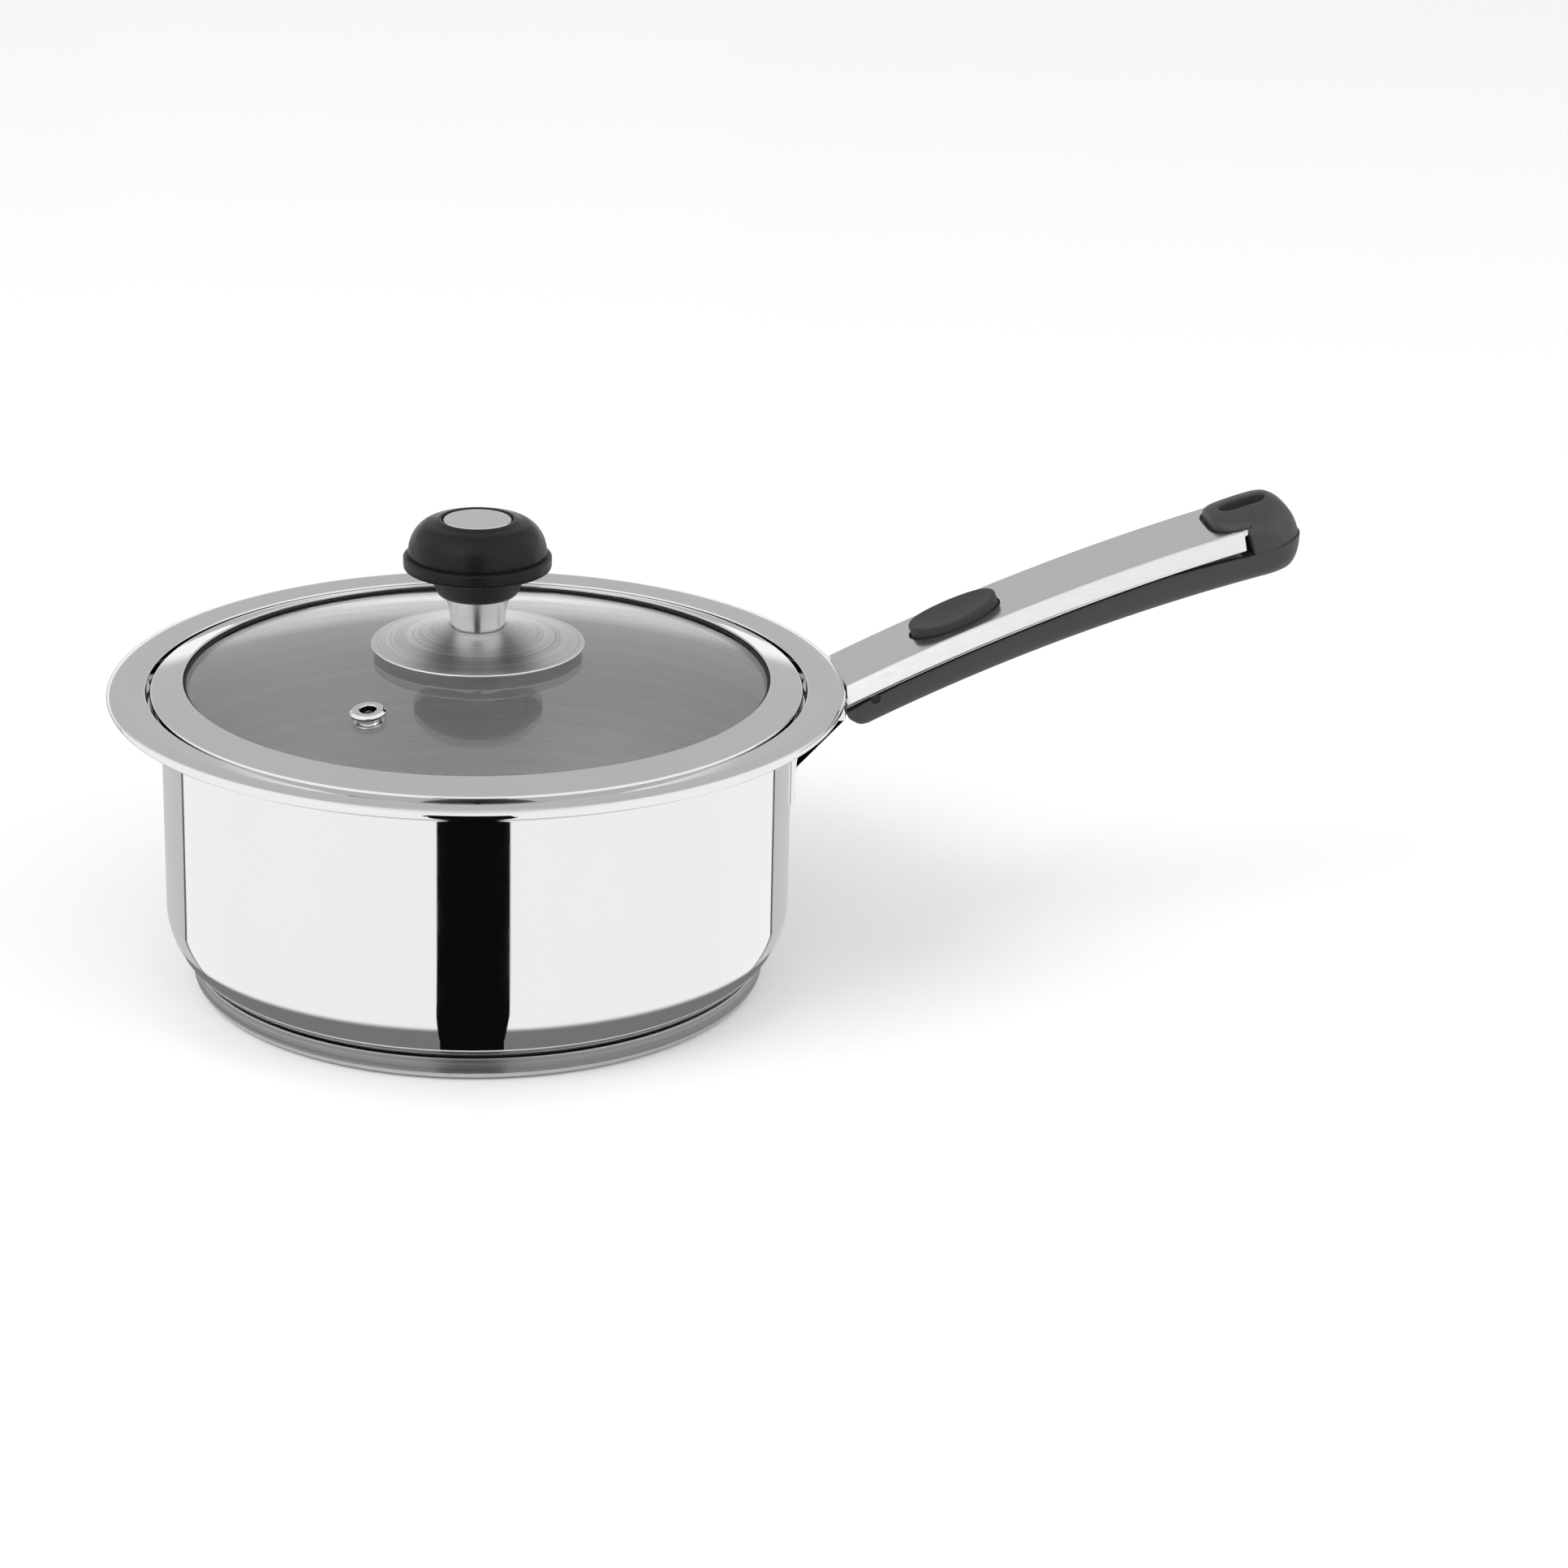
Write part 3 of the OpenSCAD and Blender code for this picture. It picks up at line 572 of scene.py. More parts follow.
def body_side(r, z):
    """1 for a face of the brushed inside, 0 for the mirror-polished rest."""
    in_corner = r > corner_x and math.hypot(r - corner_x, min(0, z - corner_z)) > corner_r - wall_t / 2
    within = r < wall_ri + 0.02 and bottom_z + 0.3 < z < seat_z - 0.4
    return 1 if within and not in_corner else 0


pot = lathe("pot_bowl", outline, [steel_mirror, steel_inside], body_side, segments=288)
piece(pot, "pot", "pot_body")

capsule = [(0, 0)]
for groove_r in (28, 60):
    capsule += [(groove_r, 0), (groove_r + 0.6, 0.16), (groove_r + 2.2, 0.16), (groove_r + 2.8, 0)]
capsule += [(capsule_r, 0, 2.7), (capsule_r, capsule_h, 0.22), (capsule_r - capsule_t, capsule_h, 0.1),
            (capsule_r - capsule_t, capsule_t, 2.2), (0, capsule_t)]
base = lathe("base_capsule_skin", fillet(capsule, 7), [steel_base], segments=288)
piece(base, "pot", "base_capsule")
keep("heat_disc", alloy)

# ---------------------------------------------------------------- lid
def dome_at(r, drop=0.0):
    """Height of the glass's top face at a radius, or of a surface that lies drop below it."""
    return dome_cz + sqrt((dome_r - drop) ** 2 - r * r)


skin_r = band_r - wall_t
foot_r = band_r - band_foot
band = [(lip_r, lip_z, 0.3), (lip_r, lip_z - wall_t, 0.1),
        (skin_r, band_edge_z - wall_t + wall_t * band_fall / band_w, 0.5), (skin_r, band_z + wall_t, 0.3),
        (foot_r, band_z + wall_t, 0.2), (foot_r, band_z, 0.2),
        (band_r, band_z, 0.6), (band_r, band_edge_z, 0.9)]
lid_band = lathe("lid_rim_band", fillet(band, 6), [steel_mirror], segments=288)
piece(lid_band, "lid", "lid_band")

seal_r = lip_r - 0.7
seal = [(seal_r, dome_at(seal_r)), (seal_r, lip_z - 0.95), (lip_r - 0.15, lip_z - 0.85),
        (band_r - 1.25, band_edge_z - 0.75), (band_r - 0.85, band_edge_z - 0.9),
        (band_r - 0.85, band_z + 0.85), (foot_r, band_z + 0.85), (foot_r, dome_at(foot_r, glass_t)),
        (glass_r, dome_at(glass_r, glass_t)), (glass_r, dome_at(glass_r))]
lid_seal = lathe("lid_seal_ring", seal, [seal_black], segments=256)
piece(lid_seal, "lid", "lid_seal")

hole_r, ground = 3.55, 0.3
across = [hole_r + (glass_r - ground - hole_r) * i / 40 for i in range(41)]
dome = [(r, dome_at(r)) for r in across]
dome += [(glass_r, dome_at(glass_r) - ground), (glass_r, dome_at(glass_r, glass_t) + ground)]
dome += [(r, dome_at(r, glass_t)) for r in reversed(across)]
glass_lid = lathe("lid_glass_dome", dome, [glass], segments=192)
vent_tilt = math.asin(vent_at / dome_r)
vent_matrix = (Matrix.Rotation(rad(vent_turn), 4, "Z") @ Matrix.Translation((0, 0, dome_cz))
               @ Matrix.Rotation(vent_tilt, 4, "Y") @ Matrix.Translation((0, 0, dome_r)))
glass_lid.modifiers.clear()
cut(glass_lid, cutter("vent_tool", round_bar(3.0, 12, vent_matrix @ Matrix.Translation((0, 0, -7)))))


def true_dome_normals(me):
    """Points the normals of the two domed faces straight away from the dome's centre."""
    centre = Vector((0, 0, dome_cz * MM))
    normals = [None] * len(me.loops)
    for p in me.polygons:
        p.use_smooth = True
        for li in p.loop_indices:
            out = (me.vertices[me.loops[li].vertex_index].co - centre).normalized()
            lean = p.normal.dot(out)
            normals[li] = p.normal.copy() if abs(lean) <= 0.9 else out if lean > 0 else -out
    me.normals_split_custom_set(normals)


true_dome_normals(glass_lid.data)
piece(glass_lid, "lid", "lid_glass")

eyelet = [(2.1, 1.25, 0.3), (2.9, 1.5, 0.4), (3.9, 1.3, 0.5), (4.55, 0.75, 0.3), (4.5, 0.5, 0.1), (2.6, 0.5),
          (2.6, -glass_t - 0.5), (3.9, -glass_t - 0.5, 0.15), (3.9, -glass_t - 0.9, 0.2),
          (2.4, -glass_t - 1.2, 0.3), (2.1, -glass_t - 0.9, 0.2)]
vent = lathe("vent_eyelet_rolled", fillet(eyelet, 6), [steel_mirror], segments=96, matrix=vent_matrix)
piece(vent, "lid", "vent_eyelet")
keep("vent_washer", soft_black)

# ---------------------------------------------------------------- knob
neck, plate_h, plate_t, lip_h, bore = 7.0, 5.2, 1.0, 0.6, 2.6
span = plate_r - neck
flare, below = [], []
for i in range(25):
    t = i / 24
    rise = t ** 1.25
    flare.append((plate_r - 0.25 - (span - 0.25) * t, plate_z + lip_h + (plate_h - lip_h) * rise))
    below.append((plate_r - 0.35 - (span - 0.15) * t, plate_z + 0.02 + (plate_h - 0.62 - plate_t) * rise))
skirt = flare + [(bore, stem_z), (bore, plate_z + plate_h - plate_t - lip_h)] + list(reversed(below))
skirt += arc(plate_r - 0.3, plate_z + 0.31, 0.29, 0.29, -90, 90, 6)
plate_ob = lathe("knob_flared_plate", skirt, [steel_spun], segments=192)
piece(plate_ob, "lid", "knob_plate")

stem_lo, stem_hi, foot_h = 6.95, 8.3, 0.6
stem = [(0, stem_z), (stem_lo - 0.55, stem_z),
        (stem_lo - 0.55, stem_z + foot_h - 0.1), (stem_lo, stem_z + foot_h, 0.06)]
for i in range(1, 14):
    t = i / 14
    stem.append((stem_lo + (stem_hi - stem_lo) * t ** 1.9, stem_z + foot_h + (knob_z - stem_z - 0.8) * t))
stem += [(stem_hi, knob_z - 0.15), (stem_hi - 0.1, knob_z), (0, knob_z)]
stem_ob = lathe("knob_stem_flared", fillet(stem), [steel_stem], segments=128)
piece(stem_ob, "lid", "knob_stem")

# collar, skirt with a ledge above it, dome, and the rim round the inlay's pocket
ridge = knob_z + 7.1
knob = [(0, knob_z + 0.02), (9.6, knob_z + 0.02, 0.9), (10.3, knob_z + 0.9, 0.6), (12.2, knob_z + 5.2, 1.2)]
knob += [(13.2, ridge - 0.7, 0.6), (knob_r - 0.15, ridge + 0.1, 0.4), (knob_r, ridge + 0.9, 0.4),
         (knob_r, ridge + 3.0, 0.35), (knob_r - 0.7, ridge + 3.35, 0.2), (knob_r - 1.45, ridge + 3.15, 0.1)]
dome_z, dome_end = ridge + 3.7, 70
knob += arc(knob_r - 8.2, dome_z, 7, (knob_top - 0.95 - dome_z) / sin(rad(dome_end)), 4, dome_end, 14)
knob += [(inlay_r + 2.4, knob_top - 0.55, 1.5), (inlay_r + 0.9, knob_top, 0.5)]
knob += [(inlay_r + 0.2, knob_top - 0.05, 0.15), (inlay_r + 0.2, inlay_z + 0.02), (0, inlay_z + 0.02)]
knob_ob = lathe("knob_moulding", fillet(knob, 6), [black_knob], segments=160)
piece(knob_ob, "lid", "knob")

inlay = [(0, inlay_z + 0.03), (inlay_r - 0.2, inlay_z + 0.03), (inlay_r - 0.2, knob_top - 0.36, 0.2),
         (inlay_r - 0.45, knob_top - 0.13, 0.3)]
for i in range(9):
    t = 1 - i / 8
    inlay.append(((inlay_r - 0.6) * t, knob_top - 0.02 - 0.09 * t * t))
inlay_ob = lathe("knob_inlay_disc", fillet(inlay), [steel_inlay], segments=128)
piece(inlay_ob, "lid", "knob_inlay")

for node in ("plate_gasket", "lower_gasket"):
    keep(node, soft_black)
keep("knob_insert", brass)
for node in ("lid_screw", "screw_washer", "handle_tang", "handle_screw", "end_cap_screw"):
    keep(node, steel_grain)
keep("tang_pin", steel_dark)


# ---------------------------------------------------------------- handle
def over(x, h=0.0):
    """Height of the surface that runs h above the handle's top face, at a distance x from the pot's axis."""
    return bend_z + sqrt((bend_r + h) ** 2 - (x - bend_x) ** 2)


def slope_at(x):
    """Slope of the handle's top face, in radians."""
    return math.asin((bend_x - x) / bend_r)


def on_handle(x):
    """The place on the handle's top face at x, with its own X along the face and Z out of it."""
    return Matrix.Translation((x, 0, over(x))) @ Matrix.Rotation(-slope_at(x), 4, "Y")


def belly_at(x):
    """Height of the grip's underside."""
    return belly_z + sqrt(belly_r ** 2 - (x - belly_x) ** 2)


def belly_slope(x):
    return math.asin((belly_x - x) / belly_r)


def between(x, knots):
    """Straight-line value at x between (x, value) knots."""
    for (x0, v0), (x1, v1) in zip(knots, knots[1:]):
        if x <= x1:
            return v0 + (v1 - v0) * max(0.0, x - x0) / (x1 - x0)
    return knots[-1][1]


def ease(x, lo, hi):
    """0 below lo and 1 above hi, with a smooth step between them."""
    t = max(0.0, min(1.0, (x - lo) / (hi - lo)))
    return t * t * (3 - 2 * t)


def rounded_end(x_end, half, r, start, n=14):
    """Half a rounded rectangle that ends at x_end, from (start, -half) round to (start, half)."""
    side = 1 if x_end > start else -1
    out = [(start, -half)]
    for i in range(n + 1):
        a = pi / 2 * i / n
        out.append((x_end - side * r * (1 - sin(a)), -half + r * (1 - cos(a))))
    return out + [(x, -y) for x, y in reversed(out)]


# steel channel: flat top, sides folded down along a soft crease
fold, bevel_h = 0.5, 4.0
bevel_fall = bevel_h / (shell_half - flat_half)


def shell_top(x, y):
    y = abs(y)
    h = 0.0
    if y > flat_half + fold:
        h = -bevel_fall * (y - flat_half)
    elif y > flat_half - fold:
        h = -bevel_fall * (y - flat_half + fold) ** 2 / (4 * fold)
    return over(x, h)


def shell_under(x, y):
    """The sheet's lower face, turned up a little at the bevels' cut edges."""
    drop = between(abs(y), [(0, -1.0), (flat_half - 0.42, -1.0),
                            (shell_half - 0.8, -4.65), (shell_half, -4.24)])
    return over(x, drop)


front = [(sqrt(front_r ** 2 - y * y), y) for y in spaced(shell_half, -shell_half, 1.2)]
cut_out = rounded_end(hump_nose - 0.5, hump_half + 0.62, nose_r + 0.6, shell_end)
near_side = [(x, -shell_half) for x in spaced(front[-1][0], shell_end, 2.0)[1:]]
far_side = [(x, shell_half) for x in spaced(shell_end, front[0][0], 2.0)[:-1]]
ends = [(shell_end, -shell_half + 1.4), (shell_end, -shell_half + 2.6)]
plan = front + near_side + ends + cut_out + [(x, -y) for x, y in reversed(ends)] + far_side
pad_gap = 0.6
pad_hole = arc(pad_x, 0, (pad_a + pad_gap) * cos(slope_at(pad_x)), pad_b + pad_gap, 0, 360, 96)[:-1]
half_lines = [0, 2, 4, 6, 7.5, 9, 10.2, 11.2, 11.7] + spaced(flat_half - fold, flat_half + fold, fold / 3)
half_lines += [13.2, 13.9, 14.6, 15.0]
across = sorted({round(side * y, 4) for y in half_lines for side in (-1, 1)})
shell = plate("handle_shell_channel", plan, [pad_hole], shell_top, shell_under, 0.28, [steel_handle],
              (spaced(93, shell_end, 1.6), across), 0.35, 5, 35, hole_edge=0.34)
piece(shell, "pot", "handle_shell")


def pad_top(x, y):
    """A dish of radius 60 within a flat rim."""
    return min(2.74, 1.7 + 60 - sqrt(60 ** 2 - x * x - y * y))


pad_outline = arc(0, 0, pad_a, pad_b, 0, 360, 120)[:-1]
pad_lines = (spaced(-12, 12, 0.8), spaced(-8.2, 8.2, 0.8))
pad = plate("thumb_pad_dished", pad_outline, [], pad_top, lambda x, y: -0.96, 0.55, [soft_black],
            pad_lines, 0.5, 6, 60, matrix=on_handle(pad_x), weighted=False)
piece(pad, "pot", "thumb_pad")


grip_end = reach - 0.7


def half_at(x):
    """Half width of the grip, rounded towards its tip."""
    if x <= grip_end - tip_r:
        return grip_half
    return grip_half - tip_r + sqrt(max(0.0, tip_r ** 2 - (x - grip_end + tip_r) ** 2))


def low_at(x):
    """The grip's lowest height, rounded at its front and its tip."""
    for end, r, side in ((handle_x0, 5, -1), (grip_end, 6, 1)):
        cx = end - side * r
        s = belly_slope(cx)
        if side * (x - cx - r * sin(s)) > 0:
            return belly_at(cx) + r / cos(s) - sqrt(max(0.0, r * r - (x - cx) ** 2))
    return belly_at(x)


# how far below the top face the grip's side ends, along the handle
side_top = [(handle_x0, -5.6), (handle_x0 + 16, -5.2),
            (shell_end - 20, -5.15), (shell_end, -6.35), (reach, -6.4)]


def grip_ring(x, shrink=0.0):
    """The grip's cross-section at x, made smaller by shrink and drawn towards the rim at the front."""
    half = half_at(x) - shrink
    low = low_at(x) + shrink
    if x > shell_end - 0.05:
        flat_steps = (half - 0.22, half * 0.92, half * 0.88, half * 0.8)
        steps = [(half, -0.22), (half - 0.06, -0.06)] + [(y, 0) for y in flat_steps]
        upper = [(y, h - seam_depth) for y, h in steps]
    else:
        h = between(x, side_top)
        upper = [(half, h - 0.35), (half - 0.1, h - 0.1), (half - 0.35, h), (12.9, h + 0.12), (12.7, -4.75),
                 (flat_half - 0.8, -1.03)]
    upper = [(y, over(x, h) - shrink) for y, h in upper]
    edge = min(4.5, max(0.4, (upper[0][1] - low) * 0.96), half * 0.9)
    right = arc(half - edge, low + edge, edge, edge, -90, 0, 10) + upper
    ring = [(-y, z) for y, z in reversed(right)] + right
    pull = 1 - ease(x, handle_x0, handle_x0 + 8)
    return [(x + (sqrt(front_r ** 2 - y * y) - handle_x0 + 0.03) * pull, y, z) for y, z in ring]


stations = [handle_x0 + 5 * (1 - cos(rad(90 * i / 10))) for i in range(11)]
stations += spaced(handle_x0 + 5, shell_end - 0.06, 1.5)[1:] + spaced(shell_end, grip_end - tip_r, 1.0)
stations += [grip_end - tip_r + tip_r * sin(rad(90 * i / 22)) for i in range(1, 22)]
rings = [grip_ring(stations[0], 0.35)] + [grip_ring(x + 0.02) for x in stations]
rings += [grip_ring(grip_end - 0.12, 0.15), grip_ring(grip_end - 0.02, 0.5)]
grip = loft("handle_grip_moulding", rings, [black_grip])
grip.modifiers.clear()
slot_half, slot_r = 3.0, 3.2
slot_loop = [(slot_half + slot_r * cos(rad(a)), slot_r * sin(rad(a))) for a in range(-90, 91, 6)]
slot_loop += [(-slot_half + slot_r * cos(rad(a)), slot_r * sin(rad(a))) for a in range(90, 271, 6)]


def slot_tool():
    """The hanging slot as a solid, square to the handle's top face."""
    bm = bmesh.new()
    lo = [bm.verts.new((x, y, -30)) for x, y in slot_loop]
    hi = [bm.verts.new((x, y, 20)) for x, y in slot_loop]
    for i in range(len(lo)):
        j = (i + 1) % len(lo)
        bm.faces.new((lo[i], lo[j], hi[j], hi[i]))
    bm.faces.new(list(reversed(lo)))
    bm.faces.new(hi)
    bmesh.ops.transform(bm, matrix=on_handle(slot_x), verts=bm.verts)
    return bm


pin_x, pin_depth = handle_x0 + 5.5, 5.9
pin_matrix = on_handle(pin_x) @ Matrix.Translation((0, 0, -pin_depth)) @ Matrix.Rotation(pi / 2, 4, "X")
screw_matrix = on_handle(shell_end - 10) @ Matrix.Translation((0, 0, -seam_depth - 10))
cut(grip, cutter("slot_tool", slot_tool()),
    cutter("pin_tool", round_bar(1.32, 60, pin_matrix @ Matrix.Translation((0, 0, -30)), 32)),
    cutter("screw_tool", round_bar(3.2, 6.5, screw_matrix, 40)))
even(grip)
piece(grip, "pot", "handle_grip")

# end cap: a block over the grip's end and a round nose that lies on the shell, in one moulding
slot_slope = slope_at(slot_x)
block_u = (shell_end + 0.9 - slot_x) / cos(slot_slope)
nose_u = (hump_nose + 0.35 - slot_x) / cos(slot_slope)
tip_u = (reach - 1.0 - slot_x - seam_depth * sin(slot_slope)) / cos(slot_slope)
tip = rounded_end(tip_u, grip_half - 0.02, tip_r + 0.9, block_u + 0.9, 20)
nose = rounded_end(nose_u, hump_half, nose_r, block_u, 14)
corner = [(block_u + 0.9 - 0.9 * sin(rad(a)), grip_half - 0.02 - 0.9 + 0.9 * cos(rad(a)))
          for a in (22.5, 45, 67.5, 90)]
cap_loop = tip + corner + [(block_u, hump_half + 0.7)] + list(reversed(nose)) + [(block_u, -hump_half - 0.7)]
cap_loop = split_long(cap_loop + [(x, -y) for x, y in reversed(corner)], 0.7)
cap_edges = [(Vector(cap_loop[i - 1]), Vector(cap_loop[i])) for i in range(len(cap_loop))]


def from_edge(p):
    """Distance from a point to the cap's outline."""
    best = 1e9
    for a, b in cap_edges:
        d = b - a
        t = max(0.0, min(1.0, (p - a).dot(d) / max(1e-12, d.dot(d))))
        best = min(best, (p - a - d * t).length_squared)
    return sqrt(best)


def cap_top(u, v):
    """A crowned top that falls away near the outline, least round the nose and most at the tip."""
    crown = 3.49 + 0.0216 * u - 0.0041 * u * u - v * v / 56
    block = ease(u, block_u - 1.6, block_u + 3.5)
    end = ease(u, 2.0, 8.5)
    wide = 1.9 + 0.7 * block + 3.54 * end
    deep = 1.4 + 0.8 * block + 6.63 * end
    t = 1 - min(1.0, from_edge(Vector((u, v))) / wide)
    return crown - deep * (1 - sqrt(max(0.0, 1 - t * t)))


def cap_under(u, v):
    return 0.02 - seam_depth if u > block_u - 0.03 else -0.98


cap_lines = (sorted(spaced(-10.5, 13.5, 0.55) + [block_u - 0.06, block_u]), spaced(-14.3, 14.3, 0.55))
cap = plate("handle_end_cap_moulding", cap_loop, [slot_loop], cap_top, cap_under, 0.8, [black_grip],
            cap_lines, 0.3, 8, 55, roll=0.0, hole_edge=0.75, matrix=on_handle(slot_x), weighted=False)
piece(cap, "pot", "handle_end_cap")


def softened(node, name, width, material):
    """A copy of a CAD node with its sharp edges broken."""
    ob = bpy.data.objects.new(name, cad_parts[node].data.copy())
    bpy.context.scene.collection.objects.link(ob)
    bm = bmesh.new()
    bm.from_mesh(ob.data)
    bmesh.ops.remove_doubles(bm, verts=bm.verts, dist=2e-6)
    bmesh.ops.dissolve_limit(bm, angle_limit=rad(0.6), verts=bm.verts, edges=bm.edges)
    bm.to_mesh(ob.data)
    bm.free()
    ob.data.materials.clear()
    ob.data.materials.append(material)
    b = ob.modifiers.new("break edges", "BEVEL")
    b.width = width * MM
    b.segments = 3
    b.limit_method = "ANGLE"
    b.angle_limit = rad(38)
    b.use_clamp_overlap = False
    bake(ob)
    return even(ob, 45)


bracket = softened("handle_bracket", "handle_bracket_pressing", 0.3, steel_mirror)
piece(bracket, "pot", "handle_bracket")

# ---------------------------------------------------------------- camera
eye = Vector((-106.67, -1027.78, 437.73)) * MM
heading, dip, roll = 0.1793, 0.3582, 0.0231
ahead = Vector((sin(heading) * cos(dip), cos(heading) * cos(dip), -sin(dip)))
cam_data = bpy.data.cameras.new("camera")
cam_data.sensor_width = 36
cam_data.lens = 98.575
cam_data.clip_start, cam_data.clip_end = 0.05, 20
camera = bpy.data.objects.new("camera", cam_data)
bpy.context.scene.collection.objects.link(camera)
aim = ahead.to_track_quat("-Z", "Y").to_matrix().to_4x4()
camera.matrix_world = Matrix.Translation(eye) @ aim @ Matrix.Rotation(roll, 4, "Z")
bpy.context.scene.camera = camera

# ---------------------------------------------------------------- studio
scene = bpy.context.scene
scene.view_settings.view_transform = "Standard"
scene.view_settings.look = "None"


def studio_material(name, build):
    """A material of the studio itself, with its nodes made by build(tree)."""
    m = bpy.data.materials.new(name)
    m.use_nodes = True
    m.node_tree.nodes.clear()
    build(m.node_tree)
    return m


def floor_nodes(tree):
    out = tree.nodes.new("ShaderNodeOutputMaterial")
    b = tree.nodes.new("ShaderNodeBsdfPrincipled")
    b.inputs["Roughness"].default_value = 0.75
    b.inputs["Specular IOR Level"].default_value = 0.1
    t = tree.nodes.new("ShaderNodeTexNoise")
    t.inputs["Scale"].default_value = 3.0
    r = tree.nodes.new("ShaderNodeValToRGB")
    r.color_ramp.elements[0].color = (0.905, 0.905, 0.905, 1)
    r.color_ramp.elements[1].color = (0.925, 0.925, 0.925, 1)
    tree.links.new(t.outputs["Fac"], r.inputs["Fac"])
    tree.links.new(r.outputs["Color"], b.inputs["Base Color"])
    tree.links.new(b.outputs[0], out.inputs[0])


def card_nodes(tree):
    out = tree.nodes.new("ShaderNodeOutputMaterial")
    e = tree.nodes.new("ShaderNodeEmission")
    a = tree.nodes.new("ShaderNodeAttribute")
    a.attribute_name = "level"
    tree.links.new(a.outputs["Fac"], e.inputs["Strength"])
    tree.links.new(e.outputs[0], out.inputs[0])


floor_material = studio_material("studio_floor", floor_nodes)
card_material = studio_material("studio_card", card_nodes)

bm = bmesh.new()
bmesh.ops.create_circle(bm, cap_ends=True, segments=96, radius=8)
me = bpy.data.meshes.new("studio_floor")
bm.to_mesh(me)
bm.free()
floor = bpy.data.objects.new("studio_floor", me)
me.materials.append(floor_material)
floor.location.z = -0.0002
scene.collection.objects.link(floor)

facing = math.atan2(eye.x, -eye.y)  # the photo's side of the pot, as a turn from -Y


def card(name, rows):
    """A sheet of light or shade that only reflections see. rows are lists of (x, y, z, level)."""
    me = bpy.data.meshes.new(name)
    verts = [p[:3] for row in rows for p in row]
    n = len(rows[0])
    faces = []
    for i in range(len(rows) - 1):
        for j in range(n - 1):
            faces.append((i * n + j, i * n + j + 1, (i + 1) * n + j + 1, (i + 1) * n + j))
    me.from_pydata(verts, [], faces)
    at = me.attributes.new("level", "FLOAT", "POINT")
    at.data.foreach_set("value", [p[3] for row in rows for p in row])
    me.materials.append(card_material)
    ob = bpy.data.objects.new(name, me)
    scene.collection.objects.link(ob)
    ob.visible_camera = False
    ob.visible_diffuse = False
    ob.visible_shadow = False
    ob.visible_transmission = False


# the dark stripe that the pot's wall reflects, as turns from the photo's side, in degrees
band_mid, band_half = -1.5, 6.5
dark_level, bright_level, tent_r = 0.004, 1.06, 1.7


def tent_level(az, el):
    """Brightness of the tent at a turn az from the photo's side and a height el, in degrees."""
    if abs(az - 2 * band_mid) < 2 * band_half and el < 38:
        return dark_level
    back = bright_level - 0.5 * ease(el, 8.0, 12.5)
    level = bright_level + (back - bright_level) * ease(abs(az), 118, 140)
    return level + (0.8 - level) * ease(el, 62, 85) * 0.7


dark_edges = [2 * (band_mid + side * band_half) + d for side in (-1, 1) for d in (-0.04, 0.04)]
turns = sorted(set([-180 + 4 * i for i in range(91)] + dark_edges))
heights = sorted(set([-2, 0, 4, 7, 8, 9, 10, 11, 12, 13] + [14 + 4 * i for i in range(19)] + [38, 38.5, 90]))
rows = []
for el in heights:
    out, up = tent_r * cos(rad(el)), tent_r * sin(rad(el))
    spots = [(facing + rad(az), tent_level(az, el)) for az in turns]
    rows.append([(out * sin(a), -out * cos(a), up, level) for a, level in spots])
card("studio_tent", rows)


def floor_level(phi, t):
    """Brightness of the table top at a turn phi round the pot and a distance t from its wall."""
    if abs(phi - band_mid) < band_half:
        return dark_level
    level = between(abs(phi), [(0, bright_level), (67.89, bright_level),
                               (67.9, 0.12), (68.89, 0.12), (68.9, 0.62), (90, 0.62)])
    near = 0.0052 + 0.0028 * cos(rad(phi)) ** 2
    return 0.21 + (level - 0.21) * ease(t, near, near + 0.006)


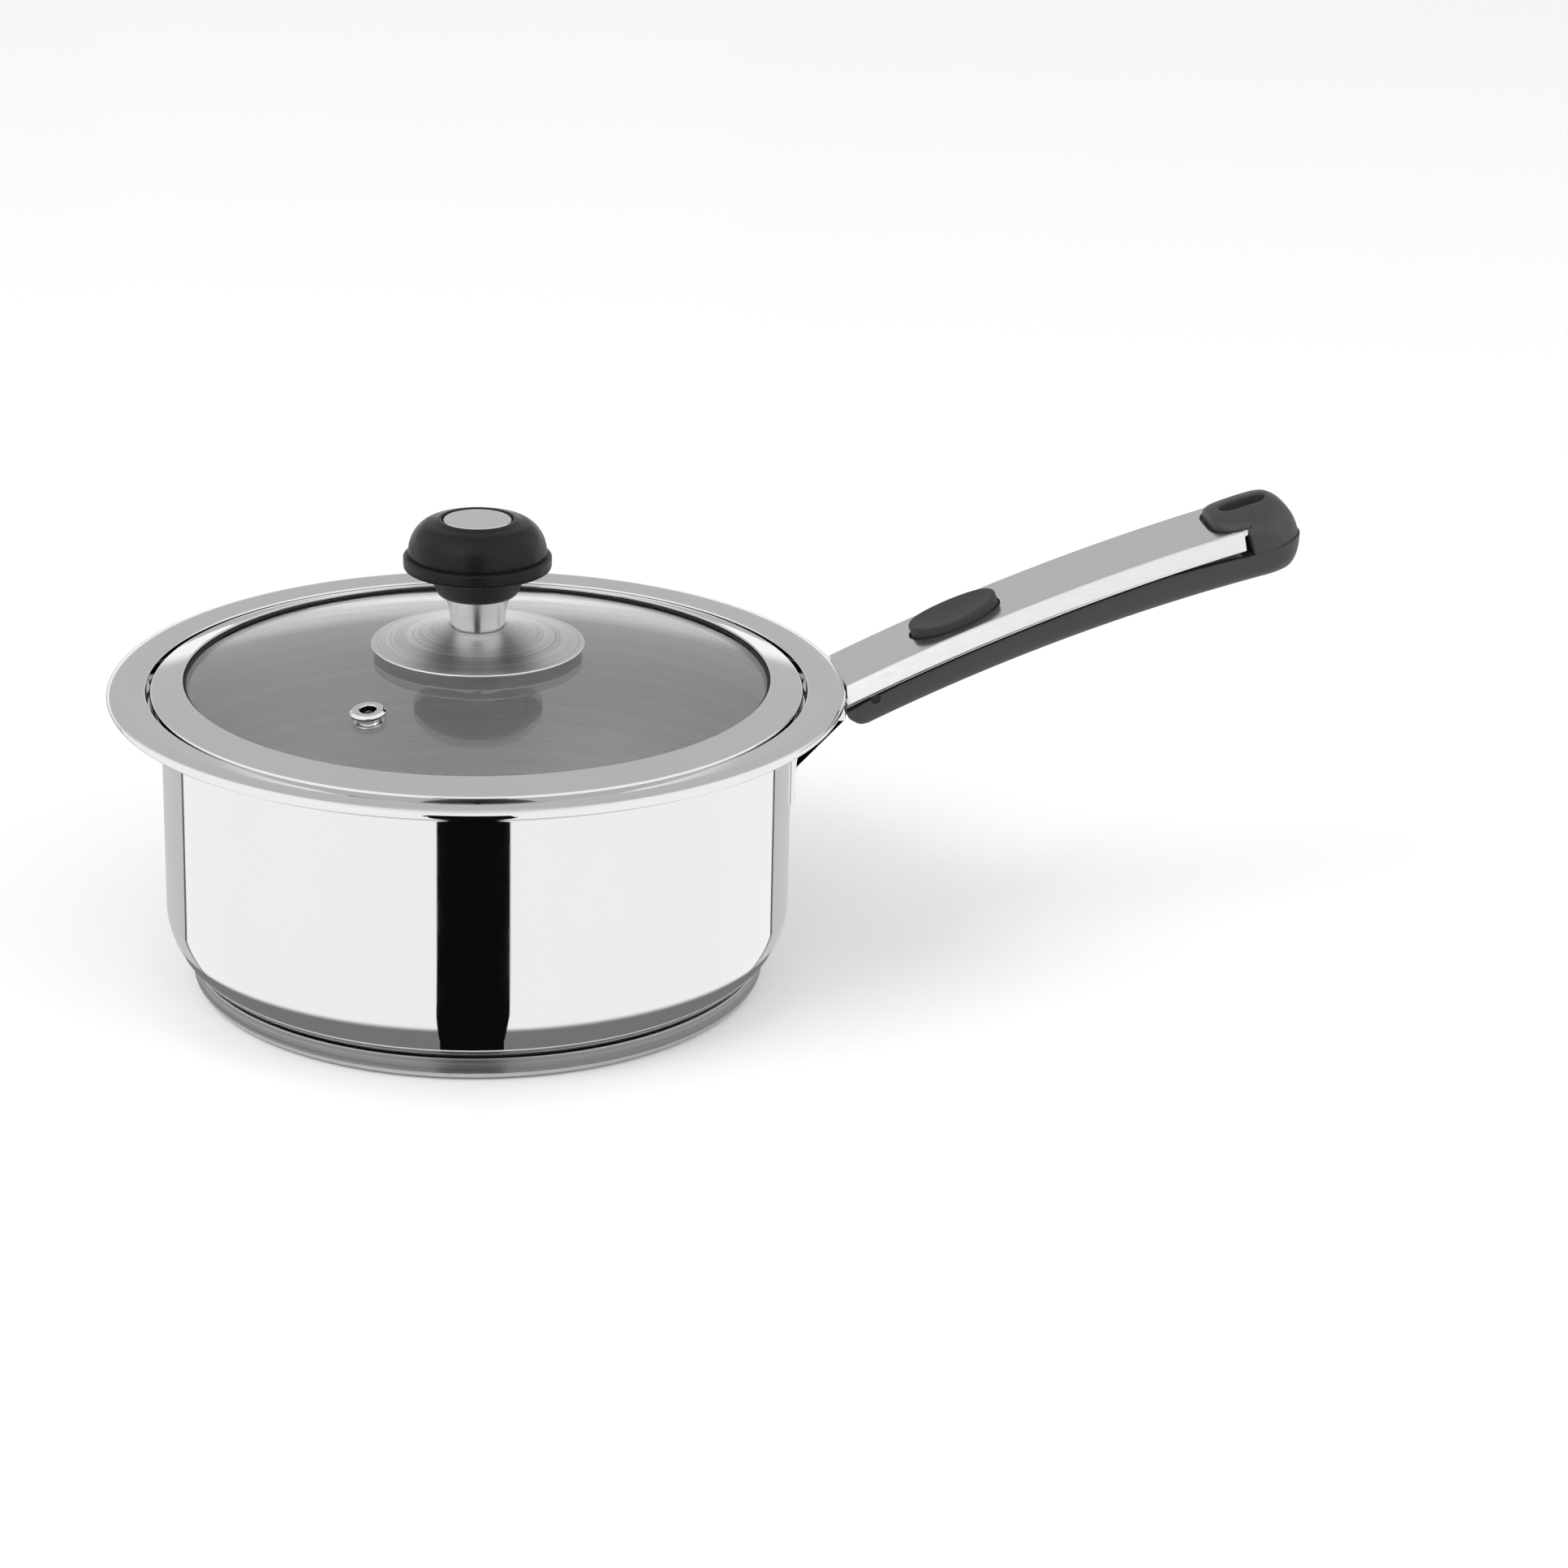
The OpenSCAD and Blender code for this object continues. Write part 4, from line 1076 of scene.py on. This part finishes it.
edges = [side * e for side in (-1, 1) for e in (67.8, 67.95, 68.8, 68.95)]
edges += [band_mid + side * band_half + d for side in (-1, 1) for d in (-0.02, 0.02)]
phis = sorted(set([-88 + 4 * i for i in range(45)] + edges))
foot = wall_ro * MM
rows = []
outward = (-0.006, 0.0, 0.004, 0.006, 0.0075, 0.009, 0.011, 0.013, 0.016, 0.02, 0.05, 0.1, 0.2, 0.4, 0.8, 1.62)
for t in outward:
    row = []
    for phi in phis:
        a, b = facing + rad(phi), facing + rad(2 * phi - band_mid if t > 0 else phi)
        row.append((foot * sin(a) + t * sin(b), -foot * cos(a) - t * cos(b), 0.0012, floor_level(phi, t)))
    rows.append(row)
card("studio_table_card", rows)

# soft light from all round, stronger from the photo's side and above
world = bpy.data.worlds.new("studio_world")
scene.world = world
world.use_nodes = True
world.node_tree.nodes["Background"].inputs["Color"].default_value = (1, 1, 1, 1)
shade = world.node_tree
dot = shade.nodes.new("ShaderNodeVectorMath")
dot.operation = "DOT_PRODUCT"
dot.inputs[1].default_value = (0.8 * sin(facing), -0.8 * cos(facing), 0.6)
shade.links.new(shade.nodes.new("ShaderNodeTexCoord").outputs["Generated"], dot.inputs[0])
level = shade.nodes.new("ShaderNodeMapRange")
level.interpolation_type = "SMOOTHSTEP"
for key, value in (("From Min", -0.5), ("From Max", 0.75), ("To Min", 0.55), ("To Max", 1.12)):
    level.inputs[key].default_value = value
shade.links.new(dot.outputs["Value"], level.inputs["Value"])
shade.links.new(level.outputs["Result"], shade.nodes["Background"].inputs["Strength"])
world.cycles_visibility.glossy = False


def softbox(name, where, aim_at, size, power):
    """A rectangular lamp that points at a spot."""
    d = bpy.data.lights.new(name, "AREA")
    d.shape = "RECTANGLE"
    d.size, d.size_y = size
    d.energy = power
    ob = bpy.data.objects.new(name, d)
    ob.location = where
    ob.rotation_mode = "QUATERNION"
    ob.rotation_quaternion = (Vector(aim_at) - Vector(where)).to_track_quat("-Z", "Y")
    scene.collection.objects.link(ob)


softbox("key", (-1.0, -0.7, 1.3), (0.03, 0, 0.05), (0.9, 0.9), 9)
softbox("fill", (1.3, -0.9, 1.1), (0.03, 0, 0.05), (0.9, 0.9), 5)

bpy.context.view_layer.update()
